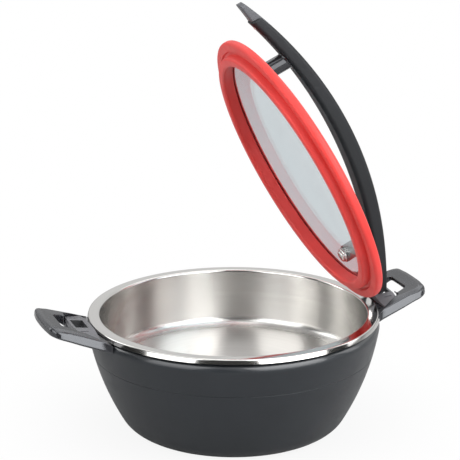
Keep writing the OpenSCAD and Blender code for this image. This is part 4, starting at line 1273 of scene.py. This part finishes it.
class DISH_OT_arm(bpy.types.Operator):
    """Models the arched arm with its hinge lug, and the thumb tab"""
    bl_idname = "dish.arm"
    bl_label = "Arm"

    def execute(self, context):
        arm, colours = context.scene.dish_arm, context.scene.dish_colours
        charcoal = plastic("Arm charcoal", colours.arm, rough=0.46, grain=2200.0, depth=0.35, edge=0.5,
                           level=0.32)
        bm = carved(self.bow(context), [self.lug(context)], "UNION")
        bore = circle((HINGE.x, HINGE.z), context.scene.dish_keeper.pin + BUSH_WALL, BORE_POINTS)
        bm = carved(bm, [self.tab(context, arm.seam), across(bore, -THROUGH, THROUGH)])
        piece(placed(bm, LID_UP), "arched_arm", "lid", "arm_charcoal", [charcoal], "lid_arm", even=True)
        grey = plastic("Thumb tab grey", colours.tab, rough=0.38, grain=2200.0, depth=0.3, edge=0.4)
        tab = placed(self.tab(context, 0.0), LID_UP)
        piece(tab, "thumb_grip", "lid", "handle_black", [grey], "thumb_tab", even=True)
        return {"FINISHED"}

    def bow(self, context):
        """The arm's arched bar, from its nose to its tail."""
        arm = context.scene.dish_arm
        nose, tail = flange_radius(context) + arm.nose, flange_radius(context) + arm.tail
        turns = [math.radians(a) for a in range(0, 91, END_TURN)]
        front = [arm.nose_round * (1.0 - math.cos(a)) for a in turns]
        rear = [arm.tail_round * (1.0 - math.cos(a)) for a in turns]
        first, last = -nose + front[-1] + END_PAST, tail - rear[-1] - END_PAST
        stations = [-nose + step for step in front]
        stations += [first + (last - first) * i / ARCH_STEPS for i in range(ARCH_STEPS + 1)]
        stations += [tail - step for step in reversed(rear)]
        sections = []
        for x in stations:
            lift = self.rounding(arm.nose_round, x + nose)
            shrink = max(self.rounding(arm.end_round, x + nose),
                         self.rounding(arm.tail_round, tail - x))
            bulge = max(0.0, math.cos(math.pi / 2 * x / nose))
            half = arm.end_half + (arm.middle_half - arm.end_half) * bulge - min(shrink, END_DRAW)
            top, low = arm_top(context, x) - shrink, arm_low(context, x) + max(lift, shrink)
            curve = min(arm.edge_round, ROUND_SHARE * (top - low), ROUND_SHARE * half)
            edge = min(arm.low_round, ROUND_SHARE * (top - low))
            sections.append(bar_section(x, half, low, top, edge, curve, BAR_CORNER_STEPS))
        return sweep(sections)

    def rounding(self, radius, gone):
        """How far a rounded end draws in, at a distance from that end."""
        if gone >= radius:
            return 0.0
        return radius - math.sqrt(max(0.0, radius ** 2 - (radius - gone) ** 2))

    def lug(self, context):
        """The block under the arm's rear end that holds the bush."""
        keeper, arm = context.scene.dish_keeper, context.scene.dish_arm
        high = arm_low(context, HINGE.x) + arm.end_thick / 2
        shape = arc((HINGE.x, HINGE.z), keeper.eye, 180, 360, 24)
        shape += [Vector((HINGE.x + keeper.eye, high - LUG_SLOPE)),
                  Vector((HINGE.x - keeper.eye, high))]
        return soft_sides(across(shape, -arm.end_half, arm.end_half), LUG_ROUND)

    def tab(self, context, grow):
        """The thumb tab: a tongue in the arm, grown by the seam for its seat, and a thicker blade."""
        arm = context.scene.dish_arm
        nose = flange_radius(context) + arm.nose
        tip, seat = flange_radius(context) + arm.tab_reach, nose - arm.tab_seat
        blade = nose + arm.seam
        stations = [(-seat + grow, False)]
        stations += [(-seat - (blade - seat) * i / TONGUE_STEPS, False)
                     for i in range(1, TONGUE_STEPS + 1)]
        stations += [(-blade - (tip - arm.tab_tip - blade) * i / BLADE_STEPS, True)
                     for i in range(BLADE_STEPS + 1)]
        stations += [(-tip - grow + arm.tab_tip * (1.0 - math.sin(math.pi / 2 * i / TIP_STEPS)), True)
                     for i in range(1, TIP_STEPS + 1)]
        sections = []
        for x, outside in stations:
            share = clamped((-x - nose) / (tip - nose))
            half = arm.tab_in + share * (arm.tab_out - arm.tab_in) + grow
            past = -x - (tip + grow - arm.tab_tip)
            if past > 0.0:
                half -= arm.tab_tip - math.sqrt(max(0.0, arm.tab_tip ** 2 - past ** 2))
            top = arm_top(context, x) + (SEAT_PAST if grow else 0.0)
            thick, edge = arm.tab_thick + grow, arm.tab_round
            if outside and not grow:
                thick, edge = arm.tab_root + share * (arm.tab_end - arm.tab_root), arm.tab_low_round
            curve, edge = min(arm.tab_round, ROUND_SHARE * half), min(edge, ROUND_SHARE * half)
            low = arm_top(context, x) - thick
            sections.append(bar_section(x, half, low, top, edge, curve, TAB_CORNER_STEPS))
        return sweep(sections)


STEM_ROUND = 0.0005  # how far a post's foot is drawn in
STEM_FLARE = 0.0006  # how far a post widens under the arm
STEM_SINK = 0.0003  # how far a post is sunk in the arm
# Shares of a post's height at which its foot ends and its widening starts
STEM_FOOT = 0.02
STEM_NECK = 0.9
FLARE_STEPS = 5
CUP_ROUND = 0.0007  # radius on a washer's edge
HEAD_ROUND = 0.0014  # radius on a screw head's edge
HEAD_FLAT = 0.45  # share of a head's radius that is almost flat
HEAD_DOME = 0.00008  # how far a head falls over that share
HEAD_FALL = 0.0002  # how far a head has fallen where its edge is rounded
SCREW_BEVEL = 0.0005  # bevel on a screw's end
# The cross in a screw's head: half width, length as a share of the head's radius, depth, and how
# far its cutters stand out
CROSS_HALF = 0.0006
CROSS_SHARE = 0.58
CROSS_DEPTH = 0.0016
CROSS_PAST = 0.001


class DISH_OT_posts(bpy.types.Operator):
    """Models the two posts, their cup washers and their screws"""
    bl_idname = "dish.posts"
    bl_label = "Posts"

    def execute(self, context):
        colours = context.scene.dish_colours
        black = plastic("Post gloss black", colours.post, rough=0.16, depth=0.06, edge=0.2, coat=0.3)
        for name, node, side in (("front_stem", "front_post", -1), ("rear_stem", "rear_post", 1)):
            piece(placed(self.stem(context, side), LID_UP), name, "lid", "post_black", [black], node)
        bright = screw_steel(context)
        cups = self.pair([self.cup(context, side) for side in (-1, 1)])
        piece(placed(cups, LID_UP), "cup_washers", "lid", "screw_steel", [bright], "screw_washers")
        screws = self.pair([self.screw(context, side) for side in (-1, 1)])
        piece(placed(screws, LID_UP), "dome_screws", "lid", "screw_steel", [bright], "post_screws")
        return {"FINISHED"}

    def pair(self, solids):
        """Two solids in one mesh."""
        both = bmesh.new()
        for bm in solids:
            part = bpy.data.meshes.new("trial_half")
            bm.to_mesh(part)
            bm.free()
            both.from_mesh(part)
            bpy.data.meshes.remove(part)
        return both

    def stem(self, context, side):
        """A post that stands on its soft washer and meets the arm's underside."""
        lid = context.scene.dish_lid
        profile = [(0.0, 0.0), (lid.post - STEM_ROUND, 0.0), (lid.post, STEM_FOOT)]
        for i in range(FLARE_STEPS + 1):
            share = i / FLARE_STEPS
            profile.append((lid.post + STEM_FLARE * share ** 2, STEM_NECK + (1.0 - STEM_NECK) * share))
        profile.append((0.0, 1.0))
        bm = lathe(profile, SMALL_ROUND_STEPS, closed=False)
        for v in bm.verts:
            x, y = side * lid.post_place + v.co.x, v.co.y
            foot = glass_height(context, math.hypot(x, y), lid.glass_thick + lid.post_washer)
            v.co = Vector((x, y, foot + v.co.z * (arm_low(context, x) + STEM_SINK - foot)))
        return tidy(bm)

    def cup(self, context, side):
        """A washer under a screw's head, its back shaped to the dome."""
        lid = context.scene.dish_lid
        face = -lid.cup_thick
        profile = rounded([(lid.screw, face, 0.0), (lid.cup, face, CUP_ROUND), (lid.cup, 0.0, 0.0),
                           (lid.screw, 0.0, 0.0)])
        bm = lathe(profile, SMALL_ROUND_STEPS)
        level = glass_height(context, lid.post_place)
        for v in bm.verts:
            x, y = side * lid.post_place + v.co.x, v.co.y
            base = glass_height(context, math.hypot(x, y)) if v.co.z > -MERGE else level + v.co.z
            v.co = Vector((x, y, base))
        return tidy(bm)

    def screw(self, context, side):
        """A pan-head screw with a cross recess, up through the post into the arm."""
        lid = context.scene.dish_lid
        seat = glass_height(context, lid.post_place) - lid.cup_thick
        end = arm_low(context, lid.post_place) + lid.screw_in
        face = seat - lid.head_height
        profile = [(0.0, face), (lid.head * HEAD_FLAT, face + HEAD_DOME)]
        profile += arc((lid.head - HEAD_ROUND, face + HEAD_ROUND + HEAD_FALL), HEAD_ROUND, -80, 0, 6)
        profile += [(lid.head, seat), (lid.screw, seat), (lid.screw, end - SCREW_BEVEL),
                    (lid.screw - SCREW_BEVEL, end), (0.0, end)]
        bm = lathe(profile, SMALL_ROUND_STEPS, closed=False)
        run, low, high = lid.head * CROSS_SHARE, face - CROSS_PAST, face + CROSS_DEPTH
        bm = carved(bm, [block((-along, -aside, low), (along, aside, high))
                         for along, aside in ((run, CROSS_HALF), (CROSS_HALF, run))])
        return placed(bm, Matrix.Translation((side * lid.post_place, 0.0, 0.0)))


class DISH_OT_kept_parts(bpy.types.Operator):
    """Gives the CAD parts that stay as they are their finishes"""
    bl_idname = "dish.kept_parts"
    bl_label = "Kept parts"

    def execute(self, context):
        colours = context.scene.dish_colours
        rubber = plastic("Soft black rubber", colours.rubber, rough=0.6, grain=1800.0, depth=0.4,
                         edge=0.1)
        bright = screw_steel(context)
        finishes = {
            "rim_gasket": rubber, "post_gaskets": rubber,
            "base_plug": plastic("Bowl satin black", colours.bowl, rough=0.36),
            "insulation_core": foam("Cream foam", colours.foam),
            "handle_screws": bright, "keeper_screws": bright, "tab_screw": bright,
            "hinge_clip": bright,
            "hinge_washers": plastic("Washer white", colours.washer, rough=0.45, grain=1800.0,
                                     depth=0.2, edge=0.0),
            "hinge_bush": steel("Bush brass", colours.brass, rough=0.28, lines=2000.0, depth=0.06),
        }
        for node, finish in finishes.items():
            mesh = frame["nodes"][node].data
            mesh.materials.clear()
            mesh.materials.append(finish)
        return {"FINISHED"}


# Studio

# Direction from the dish to the camera, and the camera's place and lens
TO_CAMERA = Vector((-0.32491, -0.90410, 0.27757))
CAMERA_PLACE = Vector((-0.52227, -1.44422, 0.6255))
LENS_MM = 140.7
SENSOR_MM = 36.0
CAMERA_SIDE = Vector((TO_CAMERA.x, TO_CAMERA.y, 0.0)).normalized()
# Degrees round from the camera and up, distance, width, height and brightness of each softbox
SOFTBOXES = (
    ("Left softbox", -47.5, 29.0, 1.9, 1.4, 1.8, 2.6),
    ("Right softbox", 46.0, 29.0, 1.9, 1.95, 1.8, 4.6),
    ("Left side softbox", -107.0, 22.0, 1.9, 0.5, 1.5, 3.0),
    ("Right side softbox", 101.0, 22.0, 1.9, 0.5, 1.5, 2.0),
    ("Overhead softbox", 60.0, 82.0, 1.6, 1.2, 1.0, 1.8),
    ("Back softbox", 178.0, 54.0, 1.9, 1.6, 1.0, 1.4))
LIT_POINT = Vector((0.0, 0.0, 0.12))  # the point that the softboxes face
FLOOR_RADIUS = 9.0
FLOOR_STEPS = 96
# Distances from the axis between which the floor, seen, goes over to white, and its least white
WHITE_FIRST = 0.09
WHITE_LAST = 0.26
WHITE_LEAST = 0.90
# Brightness of the sweep behind the dish, of the room in front and of the ceiling
SWEEP_LIGHT = 0.80
ROOM_LIGHT = 0.05
CEILING_LIGHT = 0.45


class DISH_OT_stage(bpy.types.Operator):
    """Builds the floor, the lights, the world and the camera"""
    bl_idname = "dish.stage"
    bl_label = "Studio"

    def execute(self, context):
        self.camera(context)
        self.floor(context)
        self.world(context)
        for values in SOFTBOXES:
            self.softbox(context, *values)
        context.scene.view_settings.view_transform = "Standard"
        return {"FINISHED"}

    def camera(self, context):
        """The photograph's viewpoint."""
        eye = bpy.data.cameras.new("Camera")
        eye.sensor_width = SENSOR_MM
        eye.lens = LENS_MM
        thing = bpy.data.objects.new("Camera", eye)
        thing.location = CAMERA_PLACE
        thing.rotation_euler = (-TO_CAMERA).to_track_quat("-Z", "Y").to_euler()
        context.scene.collection.objects.link(thing)
        context.scene.camera = thing

    def softbox(self, context, name, turn, rise, far, wide, tall, bright):
        """An area lamp, placed by its angles from the camera's direction."""
        lamp = bpy.data.lights.new(name, "AREA")
        lamp.shape = "RECTANGLE"
        lamp.size, lamp.size_y = wide, tall
        lamp.energy = bright * math.pi * wide * tall
        flat = Matrix.Rotation(math.radians(turn), 3, "Z") @ CAMERA_SIDE
        way = flat * math.cos(math.radians(rise)) + Vector((0, 0, 1)) * math.sin(math.radians(rise))
        thing = bpy.data.objects.new(name, lamp)
        thing.location = LIT_POINT + way * far
        thing.rotation_euler = way.to_track_quat("Z", "Y").to_euler()
        thing.visible_camera = False
        context.scene.collection.objects.link(thing)

    def floor(self, context):
        """Pale paper that looks white away from the dish and keeps the dish's shadow."""
        bm = bmesh.new()
        bmesh.ops.create_circle(bm, cap_ends=True, segments=FLOOR_STEPS,
                                radius=FLOOR_RADIUS)
        mesh = bpy.data.meshes.new("floor")
        bm.to_mesh(mesh)
        bm.free()
        thing = bpy.data.objects.new("floor", mesh)
        context.scene.collection.objects.link(thing)
        paper = bpy.data.materials.new("Studio paper")
        paper.use_nodes = True
        tree = paper.node_tree
        tree.nodes.remove(tree.nodes["Principled BSDF"])
        place = add(tree, "ShaderNodeTexCoord").outputs["Object"]
        away = add(tree, "ShaderNodeVectorMath", {0: place}, operation="LENGTH").outputs["Value"]
        fibre = add(tree, "ShaderNodeTexNoise", {"Vector": place, "Scale": 300.0, "Detail": 3.0})
        rgb = context.scene.dish_colours.floor
        tone = between(tree, fibre.outputs["Fac"], opaque(rgb, 0.98), opaque(rgb, 1.02))
        matt = add(tree, "ShaderNodeBsdfDiffuse", {"Color": tone}).outputs[0]
        white = add(tree, "ShaderNodeEmission", {"Strength": 1.0}).outputs[0]
        plain = spread(tree, away, WHITE_LEAST, 1.0, WHITE_FIRST, WHITE_LAST)
        share = maths(tree, "MULTIPLY", plain, self.seen(tree))
        mix = add(tree, "ShaderNodeMixShader", {0: share, 1: matt, 2: white})
        tree.links.new(mix.outputs[0], tree.nodes["Material Output"].inputs["Surface"])
        mesh.materials.append(paper)

    def seen(self, tree):
        """One for rays from the camera and through glass."""
        ray = add(tree, "ShaderNodeLightPath").outputs
        return maths(tree, "MAXIMUM", ray["Is Camera Ray"], ray["Is Transmission Ray"])

    def world(self, context):
        """A pale sweep behind the dish and a dim room in front, shown as plain white."""
        world = bpy.data.worlds.new("Studio")
        context.scene.world = world
        world.use_nodes = True
        tree = world.node_tree
        sky = tree.nodes["Background"]
        way = add(tree, "ShaderNodeTexCoord").outputs["Generated"]
        front = add(tree, "ShaderNodeVectorMath", {0: way, 1: CAMERA_SIDE}, operation="DOT_PRODUCT")
        height = add(tree, "ShaderNodeSeparateXYZ", {"Vector": way}).outputs["Z"]
        sweep_part = spread(tree, front.outputs["Value"], SWEEP_LIGHT, ROOM_LIGHT, -0.55, -0.05)
        low_part = spread(tree, height, 0.42, 1.0, 0.02, 0.22)
        ceiling = spread(tree, height, 0.0, CEILING_LIGHT, 0.45, 0.85)
        grey = maths(tree, "MAXIMUM", maths(tree, "MULTIPLY", sweep_part, low_part), ceiling)
        tint = add(tree, "ShaderNodeCombineColor", {"Red": grey, "Green": grey, "Blue": grey})
        tree.links.new(tint.outputs[0], sky.inputs["Color"])
        white = add(tree, "ShaderNodeBackground", {"Color": (1.0, 1.0, 1.0, 1.0), "Strength": 1.0})
        mix = add(tree, "ShaderNodeMixShader", {0: self.seen(tree), 1: sky.outputs[0],
                                                2: white.outputs[0]})
        tree.links.new(mix.outputs[0], tree.nodes["World Output"].inputs["Surface"])


class DISH_PT_panel(bpy.types.Panel):
    """Lists the dish's sizes, colours and steps"""
    bl_idname = "DISH_PT_panel"
    bl_label = "Serving dish"
    bl_space_type = "VIEW_3D"
    bl_region_type = "UI"
    bl_category = "Dish"

    def draw(self, context):
        for step in STEPS:
            self.layout.operator(step.bl_idname)
        for name, kind in GROUPS.items():
            box = self.layout.box()
            box.label(text=kind.__doc__)
            for value in kind.__annotations__:
                box.prop(getattr(context.scene, name), value)


GROUPS = {"dish_bowl": BowlSizes, "dish_handle": HandleSizes, "dish_keeper": KeeperSizes,
          "dish_lid": LidSizes, "dish_arm": ArmSizes, "dish_colours": DishColours}
STEPS = (DISH_OT_bowl, DISH_OT_pot, DISH_OT_handles, DISH_OT_keepers, DISH_OT_glass, DISH_OT_seal,
         DISH_OT_arm, DISH_OT_posts, DISH_OT_kept_parts, DISH_OT_stage)


def register():
    for kind in tuple(GROUPS.values()) + STEPS + (DISH_PT_panel,):
        bpy.utils.register_class(kind)
    for name, kind in GROUPS.items():
        setattr(bpy.types.Scene, name, PointerProperty(type=kind))


def unregister():
    for name in GROUPS:
        delattr(bpy.types.Scene, name)
    for kind in reversed(tuple(GROUPS.values()) + STEPS + (DISH_PT_panel,)):
        bpy.utils.unregister_class(kind)


def main():
    register()
    bpy.ops.dish.bowl()
    bpy.ops.dish.pot()
    bpy.ops.dish.handles()
    bpy.ops.dish.keepers()
    bpy.ops.dish.glass()
    bpy.ops.dish.seal()
    bpy.ops.dish.arm()
    bpy.ops.dish.posts()
    bpy.ops.dish.kept_parts()
    bpy.ops.dish.stage()


if __name__ == "__main__":
    main()
